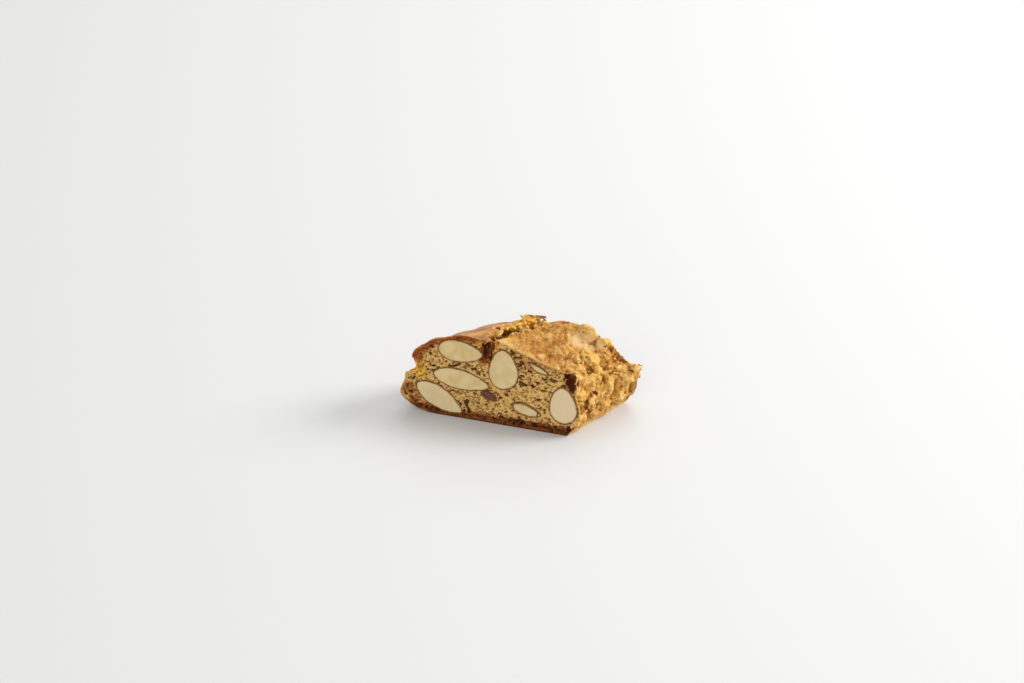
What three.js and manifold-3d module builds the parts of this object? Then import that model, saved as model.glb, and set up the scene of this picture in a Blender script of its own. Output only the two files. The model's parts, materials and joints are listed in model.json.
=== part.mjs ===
// One slice of twice-baked almond biscuit, cut on the bias from a low domed log.
//
// Millimetres, +Z up. X runs along the length of the cut faces, and the front cut face looks
// towards -Y. The origin is the middle of the bounding box, at the level the slice rests on.
// The baked dough is one solid. Each almond that a cut face shows is a solid of its own, flush
// with that face, in a pocket that keeps a clear gap all round it.
import * as THREE from "three";
import { mergeVertices } from "three/addons/utils/BufferGeometryUtils.js";
import { SimplexNoise } from "three/addons/math/SimplexNoise.js";
import Module from "manifold-3d";

const wasm = await Module();
wasm.setup();

// ---------------------------------------------------------------- driving dimensions

// The slice, seen from above, is a parallelogram that narrows towards its left end.
const THICKNESS = 29.1; // between the cut faces, at the right end of the base
const FRONT_LEAN = THREE.MathUtils.degToRad(10); // the front cut leans back as it rises
const BACK_TURN = THREE.MathUtils.degToRad(5.5); // the back cut closes in towards the left end
const BACK_PIVOT = 44; // x where the back cut is THICKNESS away from the front one

const GAP = 0.3; // between an almond and its pocket
const BLOCK = 200; // a cutting block larger than the slice

// Each cut's outline, as places (across, up) on its own face, from the base round to the left end.
const FRONT_CUT = {
  footRight: [24.4, 0],
  rightSide: [[26.9, 3.6], [27.6, 11], [27.7, 18]],
  shoulder: [26.6, 23.2],
  rightSlope: [[19.7, 26.0], [11.3, 28.9], [2.9, 31.2]],
  rightRidge: [-4.6, 33.5],
  crack: [-8.0, 30.6],
  leftRidge: [-11.8, 32.9],
  leftDome: [[-16.6, 33.5], [-22.2, 32.4], [-29.1, 29.8], [-35.0, 25.4]],
  upperLip: [-37.7, 21.6],
  split: [[-35.8, 19.4], [-35.4, 16.2]],
  lowerLip: [-40.1, 13.0],
  heel: [[-41.6, 8.8], [-41.2, 4.9], [-36.4, 1.9]],
  footLeft: [-29.5, 0],
};
const BACK_CUT = {
  footRight: [39.2, 0],
  rightSide: [[42.3, 3.4], [43.4, 8.6], [44.8, 13.0]],
  shoulder: [44.6, 16.6],
  rightSlope: [[38.2, 19.2], [34.6, 25.0], [29.0, 29.4], [22.6, 32.8], [15.8, 33.4]],
  rightRidge: [9.6, 32.2],
  crack: [6.2, 29.0],
  leftRidge: [6.4, 33.8],
  leftDome: [[0.6, 32.6], [-2.4, 31.2], [-8.2, 30.0], [-15.6, 27.2], [-21.6, 23.4]],
  upperLip: [-25.0, 19.6],
  split: [[-23.2, 18.0], [-22.8, 15.0]],
  lowerLip: [-27.2, 11.8],
  heel: [[-28.6, 8.0], [-28.0, 4.4], [-24.0, 1.6]],
  footLeft: [-17.6, 0],
};

// Grid of the crust: points along each stretch of the outline, and rings from cut to cut.
const POINTS = { base: 14, rightSide: 14, rightSlope: 18, crack: 6, leftDome: 20, split: 9, heel: 12 };
const RINGS = 15;

// Broad lumps and hollows that the crust baked into, and finer ones over the torn right side.
const RELIEF = { height: 0.55, pitch: 11, seed: 7 };
const CRAGS = { height: 1.15, pitch: 6.5, from: 14, full: 30 }; // from and full are x, in mm
const FLAT_BELOW = 3.2; // relief fades out towards the base, so that the slice rests flat

// Humps and creases of the crust: at is a place on it, reach its radius and rise its height.
const HUMPS = [
  { at: [30.5, -6, 12], reach: 6.0, rise: 1.5 },
  { at: [35.5, 1, 21], reach: 5.0, rise: 1.6 },
  { at: [38.5, 5, 9], reach: 6.0, rise: 1.2 },
  { at: [28.0, 5, 28], reach: 7.0, rise: 1.3 },
  { at: [10.0, -3, 33], reach: 9.0, rise: 0.9 },
  { at: [33.6, -1, 6], reach: 3.4, rise: -1.5 },
  { at: [38.4, 8, 20], reach: 3.2, rise: -2.4 },
  { at: [32.4, -3, 18], reach: 3.0, rise: -1.5 },
];

// Holes that the baking left open at the front cut: place on the face, radii across, up and
// into the dough, and a turn in the face's plane.
const HOLES = [
  { at: [-7.2, 29.2], radii: [1.5, 4.3, 4.6], turn: -0.45 },
  { at: [24.6, 23.0], radii: [1.9, 2.2, 3.4], turn: 0.4 },
];

// Almonds: middle and tilt of the section on the cut face, its length and width, how far the
// kernel reaches into the dough, and how pointed its ends are (0.5 is an ellipse). The last one
// of the front face is a chip that shows its brown skin.
const FRONT_ALMONDS = [
  { at: [-18.4, 26.9], tilt: -1, length: 17.6, width: 8.3, depth: 5.6, point: 0.56 },
  { at: [-17.6, 15.6], tilt: -6, length: 22.4, width: 7.7, depth: 5.8, point: 0.66 },
  { at: [-25.9, 6.9], tilt: -26, length: 20.6, width: 8.4, depth: 6.0, point: 0.66 },
  { at: [-1.5, 22.4], tilt: 94, length: 15.8, width: 11.2, depth: 5.0, point: 0.54 },
  { at: [22.2, 11.9], tilt: 98, length: 14.6, width: 10.4, depth: 4.4, point: 0.54 },
  { at: [8.2, 7.7], tilt: -13, length: 11.6, width: 4.4, depth: 4.6, point: 0.62 },
  { at: [12.1, 24.9], tilt: -24, length: 8.8, width: 2.2, depth: 3.4, point: 0.6 },
  { at: [-6.6, 10.9], tilt: -22, length: 6.0, width: 2.8, depth: 2.4, point: 0.5, finish: "skin" },
];
const BACK_ALMONDS = [
  { at: [30.2, 13.8], tilt: 80, length: 13.4, width: 8.2, depth: 4.0, point: 0.56 },
  { at: [18.0, 23.8], tilt: 5, length: 20.4, width: 8.0, depth: 5.2, point: 0.62 },
  { at: [15.8, 9.4], tilt: -21, length: 20.4, width: 9.2, depth: 5.2, point: 0.6 },
  { at: [0.2, 19.4], tilt: 80, length: 16.4, width: 10.6, depth: 4.8, point: 0.54 },
  { at: [-15.0, 10.8], tilt: 14, length: 17.4, width: 7.6, depth: 4.6, point: 0.62 },
  { at: [35.4, 4.8], tilt: -8, length: 8.0, width: 3.8, depth: 3.4, point: 0.6 },
];
const ALMOND_TAPER = 0.2; // how much slimmer the kernel is at its tip than at its blunt end
const ALMOND_SINK = 0.45; // how far a kernel's long axis lies behind the cut
const ALMOND_SIDES = 16;
const ALMOND_RINGS = 9;

const CRUST = { color: 0xc8914a, roughness: 0.6, metalness: 0 };
const ALMOND = {
  kernel: { color: 0xd9c59a, roughness: 0.45, metalness: 0 },
  skin: { color: 0x76502b, roughness: 0.6, metalness: 0 },
};

// ---------------------------------------------------------------- helpers

/** A closed three.js geometry that shares its vertices, as a manifold-3d solid. */
function solidOf(geometry) {
  return new wasm.Manifold(
    new wasm.Mesh({
      numProp: 3,
      vertProperties: geometry.attributes.position.array,
      triVerts: new Uint32Array(geometry.index.array),
    }),
  );
}

/** The solid of a geometry that is drawn in the frame of a cut face, moved onto that face. */
function onFace(geometry, face) {
  const bare = geometry.clone();
  bare.deleteAttribute("normal");
  bare.deleteAttribute("uv");
  const merged = mergeVertices(bare, 1e-4);
  merged.applyMatrix4(face);
  // A left-handed frame turns the solid inside out, so its triangles are turned back.
  if (face.determinant() < 0) merged.index.array.reverse();
  return solidOf(merged);
}

/** A manifold-3d solid as a three.js geometry. */
function geometryOf(solid) {
  const mesh = solid.getMesh();
  const geometry = new THREE.BufferGeometry();
  geometry.setAttribute("position", new THREE.BufferAttribute(mesh.vertProperties, 3));
  geometry.setIndex(new THREE.BufferAttribute(mesh.triVerts, 1));
  geometry.computeVertexNormals();
  return geometry;
}

/** A named mesh of one solid in one finish. */
function piece(name, solid, finish) {
  const mesh = new THREE.Mesh(geometryOf(solid), new THREE.MeshStandardMaterial(finish));
  mesh.name = name;
  return mesh;
}

/** Random numbers from 0 to 1 that are the same on each run. */
function seeded(seed) {
  let state = seed;
  return {
    random() {
      state = (state * 16807) % 2147483647;
      return state / 2147483647;
    },
  };
}

const noise = new SimplexNoise(seeded(RELIEF.seed));
const smoothstep = THREE.MathUtils.smoothstep;

// ---------------------------------------------------------------- the cut faces

// Each face has axes across, up and into the dough, so that a place on it is (across, up, 0).
// Across points along +X on both, which makes the front face's frame left-handed.
const frontFace = new THREE.Matrix4().makeBasis(
  new THREE.Vector3(1, 0, 0),
  new THREE.Vector3(0, Math.sin(FRONT_LEAN), Math.cos(FRONT_LEAN)),
  new THREE.Vector3(0, Math.cos(FRONT_LEAN), -Math.sin(FRONT_LEAN)),
);
frontFace.setPosition(0, -THICKNESS / 2, 0);

const backFace = new THREE.Matrix4().makeBasis(
  new THREE.Vector3(Math.cos(BACK_TURN), Math.sin(BACK_TURN), 0),
  new THREE.Vector3(0, 0, 1),
  new THREE.Vector3(Math.sin(BACK_TURN), -Math.cos(BACK_TURN), 0),
);
backFace.setPosition(
  BACK_PIVOT * (1 - Math.cos(BACK_TURN)),
  THICKNESS / 2 - BACK_PIVOT * Math.sin(BACK_TURN),
  0,
);

/** Points along a smooth curve through places, without its last point. */
function along(places, count) {
  const curve = new THREE.SplineCurve(places.map(([x, y]) => new THREE.Vector2(x, y)));
  return curve.getSpacedPoints(count).slice(0, count);
}

/** Points along straight lines through places, without the last point. */
function straight(places, count) {
  const perLine = count / (places.length - 1);
  const points = [];
  for (let line = 0; line < places.length - 1; line++) {
    const from = new THREE.Vector2(...places[line]);
    const to = new THREE.Vector2(...places[line + 1]);
    for (let step = 0; step < perLine; step++) points.push(from.clone().lerp(to, step / perLine));
  }
  return points;
}

/** The outline of a cut, anticlockwise, with the same number of points for every cut. */
function outline(cut) {
  return [
    ...straight([cut.footLeft, cut.footRight], POINTS.base),
    ...along([cut.footRight, ...cut.rightSide, cut.shoulder], POINTS.rightSide),
    ...along([cut.shoulder, ...cut.rightSlope, cut.rightRidge], POINTS.rightSlope),
    ...straight([cut.rightRidge, cut.crack, cut.leftRidge], POINTS.crack),
    ...along([cut.leftRidge, ...cut.leftDome, cut.upperLip], POINTS.leftDome),
    ...straight([cut.upperLip, ...cut.split, cut.lowerLip], POINTS.split),
    ...along([cut.lowerLip, ...cut.heel, cut.footLeft], POINTS.heel),
  ];
}

// ---------------------------------------------------------------- the baked dough

/** How far the crust stands out of its plain loft at a place. */
function relief(place) {
  const rough = (pitch) => noise.noise3d(place.x / pitch, place.y / pitch, place.z / pitch);
  const torn = smoothstep(place.x, CRAGS.from, CRAGS.full);
  let rise = RELIEF.height * rough(RELIEF.pitch) + CRAGS.height * torn * rough(CRAGS.pitch);
  for (const hump of HUMPS) {
    const away = place.distanceTo(new THREE.Vector3(...hump.at)) / hump.reach;
    rise += hump.rise * Math.exp(-away * away);
  }
  return rise * smoothstep(place.z, 0, FLAT_BELOW);
}

/** The dough's grid of rings, from the front cut to the back one, with the relief on it. */
function crustRings() {
  const front = outline(FRONT_CUT).map((p) => new THREE.Vector3(p.x, p.y, 0).applyMatrix4(frontFace));
  const back = outline(BACK_CUT).map((p) => new THREE.Vector3(p.x, p.y, 0).applyMatrix4(backFace));
  const count = front.length;
  const rings = [];
  for (let r = 0; r <= RINGS; r++) {
    const plain = front.map((p, i) => p.clone().lerp(back[i], r / RINGS));
    rings.push(
      plain.map((p, i) => {
        const next = plain[(i + 1) % count];
        const last = plain[(i + count - 1) % count];
        // Outward in the ring's own plane, so that both cut faces stay flat.
        const way = next.clone().sub(last);
        const into = back[i].clone().sub(front[i]);
        const out = way.clone().cross(into).normalize();
        if (r === 0 || r === RINGS) {
          const face = new THREE.Vector3().setFromMatrixColumn(r ? backFace : frontFace, 2);
          out.projectOnPlane(face).normalize();
        }
        return p.clone().addScaledVector(out, relief(p));
      }),
    );
  }
  return rings;
}

/** The dough before anything is cut out of it: the rings joined, and both ends closed. */
function doughBlank() {
  const rings = crustRings();
  const count = rings[0].length;
  const index = [];
  for (let r = 0; r < RINGS; r++) {
    for (let i = 0; i < count; i++) {
      const a = r * count + i;
      const b = r * count + ((i + 1) % count);
      index.push(a, a + count, b, b, a + count, b + count);
    }
  }
  const flat = (ring, face) => {
    const back = face.clone().invert();
    return ring.map((p) => {
      const place = p.clone().applyMatrix4(back);
      return new THREE.Vector2(place.x, place.y);
    });
  };
  for (const [a, b, c] of THREE.ShapeUtils.triangulateShape(flat(rings[0], frontFace), [])) {
    index.push(a, b, c);
  }
  const last = RINGS * count;
  for (const [a, b, c] of THREE.ShapeUtils.triangulateShape(flat(rings[RINGS], backFace), [])) {
    index.push(last + a, last + c, last + b);
  }
  const geometry = new THREE.BufferGeometry().setFromPoints(rings.flat());
  geometry.setIndex(index);
  return solidOf(geometry);
}

/** A hole that starts at the front cut, as a lumpy rounded solid. */
function hole({ at, radii, turn }) {
  const geometry = new THREE.IcosahedronGeometry(1, 2);
  geometry.scale(...radii);
  geometry.rotateZ(turn);
  geometry.translate(...at, 0);
  return onFace(geometry, frontFace);
}

// ---------------------------------------------------------------- almonds

/** A whole kernel lying on a face, larger all round by a margin. */
function kernel({ at, tilt, length, width, depth, point }, face, margin) {
  const geometry = new THREE.SphereGeometry(1, ALMOND_SIDES, ALMOND_RINGS);
  geometry.rotateY(Math.PI / ALMOND_SIDES); // no edge of the kernel runs along the cut
  geometry.rotateZ(-Math.PI / 2); // the poles become the blunt end and the tip
  const places = geometry.attributes.position;
  for (let i = 0; i < places.count; i++) {
    const x = places.getX(i);
    const round = Math.sqrt(Math.max(1 - x * x, 0));
    const slim = round > 1e-6 ? round ** (2 * point - 1) * (1 - ALMOND_TAPER * x) : 0;
    places.setXYZ(i, x, places.getY(i) * slim, places.getZ(i) * slim);
  }
  geometry.scale(length / 2 + margin, width / 2 + margin, depth + margin);
  geometry.rotateZ(THREE.MathUtils.degToRad(tilt));
  geometry.translate(...at, ALMOND_SINK);
  return onFace(geometry, face);
}

/** Everything on the dough's side of a cut face, as a block. */
function behind(face) {
  const block = new THREE.BoxGeometry(BLOCK, BLOCK, BLOCK);
  block.translate(0, 0, BLOCK / 2);
  return onFace(block, face);
}

// ---------------------------------------------------------------- the slice

const faces = [
  { side: "front", face: frontFace, almonds: FRONT_ALMONDS },
  { side: "back", face: backFace, almonds: BACK_ALMONDS },
];

let dough = doughBlank();
for (const each of HOLES) dough = dough.subtract(hole(each));

const kernels = [];
for (const { side, face, almonds } of faces) {
  const half = behind(face);
  almonds.forEach((almond, i) => {
    dough = dough.subtract(kernel(almond, face, GAP));
    const cut = kernel(almond, face, 0).intersect(half);
    kernels.push(piece(`almond_${side}_${i + 1}`, cut, ALMOND[almond.finish ?? "kernel"]));
  });
}

const slice = new THREE.Group();
slice.add(piece("biscuit", dough, CRUST), ...kernels);

// The origin goes under the middle of the slice, on its base.
const extent = new THREE.Box3().setFromObject(slice);
const middle = extent.getCenter(new THREE.Vector3());
slice.position.set(-middle.x, -middle.y, -extent.min.z);

const part = new THREE.Group();
part.add(slice);

export default part;
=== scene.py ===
"""Looks of one slice of almond biscotti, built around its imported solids.

Metres, +Z up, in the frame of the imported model: the front cut face looks towards -Y, and the
slice rests on Z = 0. The baked dough is fused from its solid, a few crust lumps and torn flakes
into one skin, roughened, and then riddled with pores. Each almond is a smooth kernel whose cut
face shows a cream heart inside a thin brown skin. Loose crumbs cling to the dough.
"""

import json
import logging
import math
from contextlib import contextmanager
from dataclasses import dataclass, field
from enum import Enum
from typing import Callable, Iterator

import bpy
import numpy as np
from bpy.types import Material, Node, NodeSocket, Object
from mathutils import Euler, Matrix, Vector, kdtree

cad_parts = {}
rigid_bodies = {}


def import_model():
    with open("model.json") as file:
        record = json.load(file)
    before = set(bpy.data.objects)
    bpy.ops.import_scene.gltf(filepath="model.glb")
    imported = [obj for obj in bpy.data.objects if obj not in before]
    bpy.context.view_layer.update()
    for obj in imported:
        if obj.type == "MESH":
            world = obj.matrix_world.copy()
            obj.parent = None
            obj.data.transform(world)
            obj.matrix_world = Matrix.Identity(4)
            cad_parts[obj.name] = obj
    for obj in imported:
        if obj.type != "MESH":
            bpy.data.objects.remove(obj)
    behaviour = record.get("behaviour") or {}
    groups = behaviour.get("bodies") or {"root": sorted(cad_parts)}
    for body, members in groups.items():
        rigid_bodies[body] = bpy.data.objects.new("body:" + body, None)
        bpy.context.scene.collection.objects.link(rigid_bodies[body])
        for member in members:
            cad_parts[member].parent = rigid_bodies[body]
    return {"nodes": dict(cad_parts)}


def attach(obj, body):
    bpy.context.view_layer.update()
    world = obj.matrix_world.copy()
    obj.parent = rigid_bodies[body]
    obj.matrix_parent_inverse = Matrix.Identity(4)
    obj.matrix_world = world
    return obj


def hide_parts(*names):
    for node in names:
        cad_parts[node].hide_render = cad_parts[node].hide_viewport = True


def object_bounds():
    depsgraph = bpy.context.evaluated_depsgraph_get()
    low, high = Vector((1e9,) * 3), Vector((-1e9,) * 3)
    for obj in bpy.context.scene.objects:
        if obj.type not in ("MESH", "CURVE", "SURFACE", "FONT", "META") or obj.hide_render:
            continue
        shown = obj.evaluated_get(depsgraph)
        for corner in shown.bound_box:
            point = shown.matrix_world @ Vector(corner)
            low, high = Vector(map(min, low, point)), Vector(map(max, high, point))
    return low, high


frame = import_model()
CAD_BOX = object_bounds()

Triple = tuple[float, float, float]
Spot = tuple[Triple, float]
Value = float | Triple | NodeSocket

MM = 0.001
CLOSE = 1e-7
FULL_TURN = 6.28
BOX_SPARE = 0.025
GROUP_STEPS = 20
FLAKE_SEED = 40
SPOT_SEED = 100
log = logging.getLogger("biscotti")


# ---- the two cut faces


class Side(Enum):
    """Which of the slice's two cut faces a thing belongs to."""

    FRONT = "front"
    BACK = "back"


@dataclass(frozen=True)
class CutFace:
    """A flat cut through the slice, with axes across, up and into the dough."""

    origin: Vector
    across: Vector
    up: Vector
    inward: Vector

    @property
    def axes(self) -> np.ndarray:
        """Gives the three axes as the rows of an array."""
        return np.array([self.across, self.up, self.inward])

    def place(self, across: float, up: float, depth: float = 0.0) -> Vector:
        """Turns a place on the face, in millimetres, into a point in metres."""
        return self.origin + (self.across * across + self.up * up + self.inward * depth) * MM

    def local(self, points: np.ndarray) -> np.ndarray:
        """Gives points in metres as rows of (across, up, depth) in millimetres."""
        return (points - np.array(self.origin)) @ self.axes.T / MM


LEAN = math.radians(10)
TURN = math.radians(5.5)
PIVOT = 44.0
THICKNESS = 29.1
CENTRING = Vector((-1.7709, -0.0562, 0.0)) * MM
BACK_SHIFT = (PIVOT * (1 - math.cos(TURN)) * MM, (THICKNESS / 2 - PIVOT * math.sin(TURN)) * MM, 0)

FACES: dict[Side, CutFace] = {
    Side.FRONT: CutFace(
        origin=Vector((0, -THICKNESS / 2 * MM, 0)) + CENTRING,
        across=Vector((1, 0, 0)),
        up=Vector((0, math.sin(LEAN), math.cos(LEAN))),
        inward=Vector((0, math.cos(LEAN), -math.sin(LEAN))),
    ),
    Side.BACK: CutFace(
        origin=Vector(BACK_SHIFT) + CENTRING,
        across=Vector((math.cos(TURN), math.sin(TURN), 0)),
        up=Vector((0, 0, 1)),
        inward=Vector((math.sin(TURN), -math.cos(TURN), 0)),
    ),
}


def depth_of(points: np.ndarray) -> np.ndarray:
    """Gives how far each point in metres lies behind the nearer cut face, in millimetres."""
    return np.minimum(*(face.local(points)[:, 2] for face in FACES.values()))


@dataclass(frozen=True)
class AlmondCut:
    """One almond as its cut face shows it, in millimetres and degrees on that face."""

    node: str
    side: Side
    at: tuple[float, float]
    tilt: float
    length: float
    width: float
    depth: float
    point: float
    skinned: bool = False

    TAPER = 0.2
    SINK = 0.45

    def slimness(self, share: np.ndarray) -> np.ndarray:
        """Gives the kernel's half width at a share of its half length, as a share of its widest."""
        belly = np.sqrt((1 - share * share).clip(0, 1))
        return belly ** (2 * self.point) * (1 - self.TAPER * share)

    def local(self, points: np.ndarray) -> np.ndarray:
        """Gives points in the kernel's own axes.

        Args:
            points: Rows of points in metres.

        Returns:
            Rows of (along, aside, depth) in millimetres.
        """
        across, up, depth = FACES[self.side].local(points).T
        across, up = across - self.at[0], up - self.at[1]
        turn = math.radians(self.tilt)
        along = across * math.cos(turn) + up * math.sin(turn)
        aside = up * math.cos(turn) - across * math.sin(turn)
        return np.stack([along, aside, depth - self.SINK], 1)

    def holds(self, points: np.ndarray, margin: float) -> np.ndarray:
        """Tells which points lie in the kernel, or close round it.

        Args:
            points: Rows of points in metres.
            margin: How far outside the kernel still counts, in millimetres.

        Returns:
            True or False for each point.
        """
        along, aside, depth = self.local(points).T
        share = along / (self.length / 2 + margin)
        reach = np.hypot(aside / (self.width / 2 + margin), depth / (self.depth + margin))
        return (np.abs(share) < 1) & (reach < self.slimness(share.clip(-1, 1)))


# For each almond: its place across and up, tilt, length, width, depth and how pointed it is.
ALMONDS = {
    Side.FRONT: [
        ((-18.4, 26.9), -1, 17.6, 8.3, 5.6, 0.56),
        ((-17.6, 15.6), -6, 22.4, 7.7, 5.8, 0.66),
        ((-25.9, 6.9), -26, 20.6, 8.4, 6.0, 0.66),
        ((-1.5, 22.4), 94, 15.8, 11.2, 5.0, 0.54),
        ((22.2, 11.9), 98, 14.6, 10.4, 4.4, 0.54),
        ((8.2, 7.7), -13, 11.6, 4.4, 4.6, 0.62),
        ((12.1, 24.9), -24, 8.8, 2.2, 3.4, 0.6),
        ((-6.6, 10.9), -22, 6.0, 2.8, 2.4, 0.5),
    ],
    Side.BACK: [
        ((30.2, 13.8), 80, 13.4, 8.2, 4.0, 0.56),
        ((18.0, 23.8), 5, 20.4, 8.0, 5.2, 0.62),
        ((15.8, 9.4), -21, 20.4, 9.2, 5.2, 0.6),
        ((0.2, 19.4), 80, 16.4, 10.6, 4.8, 0.54),
        ((-15.0, 10.8), 14, 17.4, 7.6, 4.6, 0.62),
        ((35.4, 4.8), -8, 8.0, 3.8, 3.4, 0.6),
    ],
}
SKIN_CHIP = "almond_front_8"


def almond_cuts() -> list[AlmondCut]:
    """Lists every almond of the slice, front face first.

    Returns:
        The almonds, named after their solids.
    """
    named = [(f"almond_{s.value}_{n}", s, row) for s in Side for n, row in enumerate(ALMONDS[s], 1)]
    return [AlmondCut(node, side, *row, skinned=node == SKIN_CHIP) for node, side, row in named]


# ---- modelling helpers


def adjust(thing: bpy.types.bpy_struct, settings: dict[str, object]) -> None:
    """Sets some of a thing's own properties by their names."""
    for name, value in settings.items():
        setattr(thing, name, value)


def pick(obj: Object) -> None:
    """Makes an object the only selected one, and the active one.

    Args:
        obj: The object.
    """
    bpy.ops.object.select_all(action="DESELECT")
    obj.select_set(True)
    bpy.context.view_layer.objects.active = obj


@contextmanager
def editing(obj: Object) -> Iterator[None]:
    """Opens an object in edit mode with all of its mesh selected.

    Args:
        obj: The mesh object.
    """
    pick(obj)
    bpy.ops.object.mode_set(mode="EDIT")
    bpy.ops.mesh.select_all(action="SELECT")
    yield
    bpy.ops.object.mode_set(mode="OBJECT")


def start(add: Callable[..., object], **sizes: float) -> Object:
    """Adds a primitive while nothing else is selected.

    Args:
        add: Blender's operator for the primitive.
        sizes: The operator's own settings.

    Returns:
        The new object.
    """
    bpy.ops.object.select_all(action="DESELECT")
    add(**sizes)
    return bpy.context.object


def duplicate(source: Object) -> Object:
    """Copies an object together with its mesh.

    Args:
        source: The object, which stays as it is.

    Returns:
        The copy.
    """
    pick(source)
    bpy.ops.object.duplicate()
    return bpy.context.object


def join(parts: list[Object], name: str) -> Object:
    """Joins mesh objects into the first one, with its place in its mesh.

    Args:
        parts: The objects, of which the first stays.
        name: The joined object's name.

    Returns:
        The joined object.
    """
    pick(parts[0])
    for part in parts:
        part.select_set(True)
    bpy.ops.object.join()
    bpy.ops.object.transform_apply(location=True, rotation=True, scale=True)
    parts[0].name = parts[0].data.name = name
    return parts[0]


def trim(place: Vector, outward: Vector, keep_inner: bool = True) -> None:
    """Cuts the mesh that is open in edit mode along a plane, drops one side and closes the cut.

    Args:
        place: A point of the plane.
        outward: The plane's normal.
        keep_inner: Whether the side behind the plane stays, or else the one in front.
    """
    bpy.ops.mesh.bisect(
        plane_co=place,
        plane_no=outward,
        use_fill=True,
        clear_outer=keep_inner,
        clear_inner=not keep_inner,
        threshold=CLOSE,
    )


def select_one(obj: Object, kind: str, index: int) -> None:
    """Selects one vertex or face of the mesh that is open in edit mode, and nothing else.

    Args:
        obj: The mesh object.
        kind: VERT or FACE.
        index: Its number in the mesh.
    """
    bpy.ops.mesh.select_all(action="DESELECT")
    bpy.ops.mesh.select_mode(type=kind)
    bpy.ops.object.mode_set(mode="OBJECT")
    items = obj.data.vertices if kind == "VERT" else obj.data.polygons
    items[index].select = True
    bpy.ops.object.mode_set(mode="EDIT")


def dress(obj: Object, material: Material) -> None:
    """Gives a piece its only material and smooth shading.

    Args:
        obj: The piece.
        material: The material.
    """
    obj.data.materials.clear()
    obj.data.materials.append(material)
    with editing(obj):
        bpy.ops.mesh.faces_shade_smooth()


def apply_modifier(obj: Object, kind: str, **settings: object) -> None:
    """Adds a modifier, sets it and applies it.

    Args:
        obj: The mesh object it works on.
        kind: Blender's name for the modifier's type.
        settings: Values for the modifier's own properties.
    """
    pick(obj)
    modifier = obj.modifiers.new(kind.lower(), kind)
    adjust(modifier, settings)
    bpy.ops.object.modifier_apply(modifier=modifier.name)


class Grain(Enum):
    """The noises that roughen a skin: Blender's kind of each, and that kind's own settings."""

    SWELLS = ("CLOUDS", {})
    CLOUDS = ("CLOUDS", {"noise_depth": 3})
    PEBBLES = ("VORONOI", {"distance_metric": "DISTANCE_SQUARED"})
    RIDGES = ("MUSGRAVE", {"musgrave_type": "RIDGED_MULTIFRACTAL", "noise_intensity": 0.6})


@dataclass(frozen=True)
class Ruffle:
    """A noise that raises and sinks a skin.

    The width and height of its bumps are in millimetres. The skin stays put where the noise has
    the middle value, and the vertex group named weights says how much it moves elsewhere.
    """

    grain: Grain
    size: float
    height: float
    middle: float = 0.5
    weights: str = ""


def displace(obj: Object, ruffle: Ruffle) -> None:
    """Raises and sinks a mesh along its normals.

    Args:
        obj: The mesh object.
        ruffle: The noise to do it by.
    """
    kind, settings = ruffle.grain.value
    texture = bpy.data.textures.new(ruffle.grain.name.lower(), kind)
    adjust(texture, {"noise_scale": ruffle.size * MM, **settings})
    apply_modifier(
        obj,
        "DISPLACE",
        texture=texture,
        texture_coords="LOCAL",
        strength=ruffle.height * MM,
        mid_level=ruffle.middle,
        vertex_group=ruffle.weights,
    )


# ---- helpers for points


def rows_of(
    items: bpy.types.bpy_prop_collection, name: str, width: int = 3, kind: type = np.float32
) -> np.ndarray:
    """Reads one property of all of a mesh's vertices or edges.

    Args:
        items: The vertices or edges.
        name: The property's name.
        width: How many numbers it has.
        kind: What numbers they are.

    Returns:
        One row for each item.
    """
    flat = np.empty(len(items) * width, dtype=kind)
    items.foreach_get(name, flat)
    return flat.reshape(-1, width)


def points_of(obj: Object) -> np.ndarray:
    """Gives a mesh's vertices as an array."""
    return rows_of(obj.data.vertices, "co").astype(float)


def normals_of(obj: Object) -> np.ndarray:
    """Gives a mesh's vertex normals as an array."""
    return rows_of(obj.data.vertex_normals, "vector").astype(float)


def edges_of(obj: Object) -> np.ndarray:
    """Gives a mesh's edges as an array of vertex pairs."""
    return rows_of(obj.data.edges, "vertices", 2, np.int32)


def set_points(obj: Object, points: np.ndarray) -> None:
    """Moves a mesh's vertices to the points of an array."""
    obj.data.vertices.foreach_set("co", points.astype(np.float32).ravel())
    obj.data.update()


def spread(values: np.ndarray, edges: np.ndarray, rounds: int) -> np.ndarray:
    """Averages each vertex's value with its neighbours', some rounds over.

    Args:
        values: One number for each vertex, or one row for each.
        edges: The mesh's edges.
        rounds: How many times to average.

    Returns:
        The smoothed values.
    """
    ends, others = np.concatenate([edges, edges[:, ::-1]]).T
    count = np.bincount(ends, minlength=len(values)).clip(1)
    rows = values.reshape(len(values), -1)
    for _ in range(rounds):
        sums = [np.bincount(ends, column[others], len(rows)) for column in rows.T]
        rows = 0.5 * rows + 0.5 * np.stack(sums, 1) / count[:, None]
    return rows.reshape(values.shape)


def even_normals(obj: Object, rounds: int) -> np.ndarray:
    """Gives a mesh's vertex normals, averaged with their neighbours' some rounds over."""
    normals = spread(normals_of(obj), edges_of(obj), rounds)
    return normals / np.linalg.norm(normals, axis=1)[:, None].clip(1e-6)


def ramp(values: np.ndarray, low: float, high: float) -> np.ndarray:
    """Eases values from 0 at low to 1 at high."""
    share = ((values - low) / (high - low)).clip(0, 1)
    return share * share * (3 - 2 * share)


def near(points: np.ndarray, spots: list[Spot]) -> np.ndarray:
    """Gives how near points are to any of some spots.

    Args:
        points: Rows of points in metres.
        spots: The spots, each a place and a reach in millimetres.

    Returns:
        A number from 0, far, to 1, at a spot, for each point.
    """
    best = np.zeros(len(points))
    for place, reach in spots:
        away = np.linalg.norm(points / MM - np.array(place), axis=1) / reach
        best = np.maximum(best, np.exp(-away * away))
    return best


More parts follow.
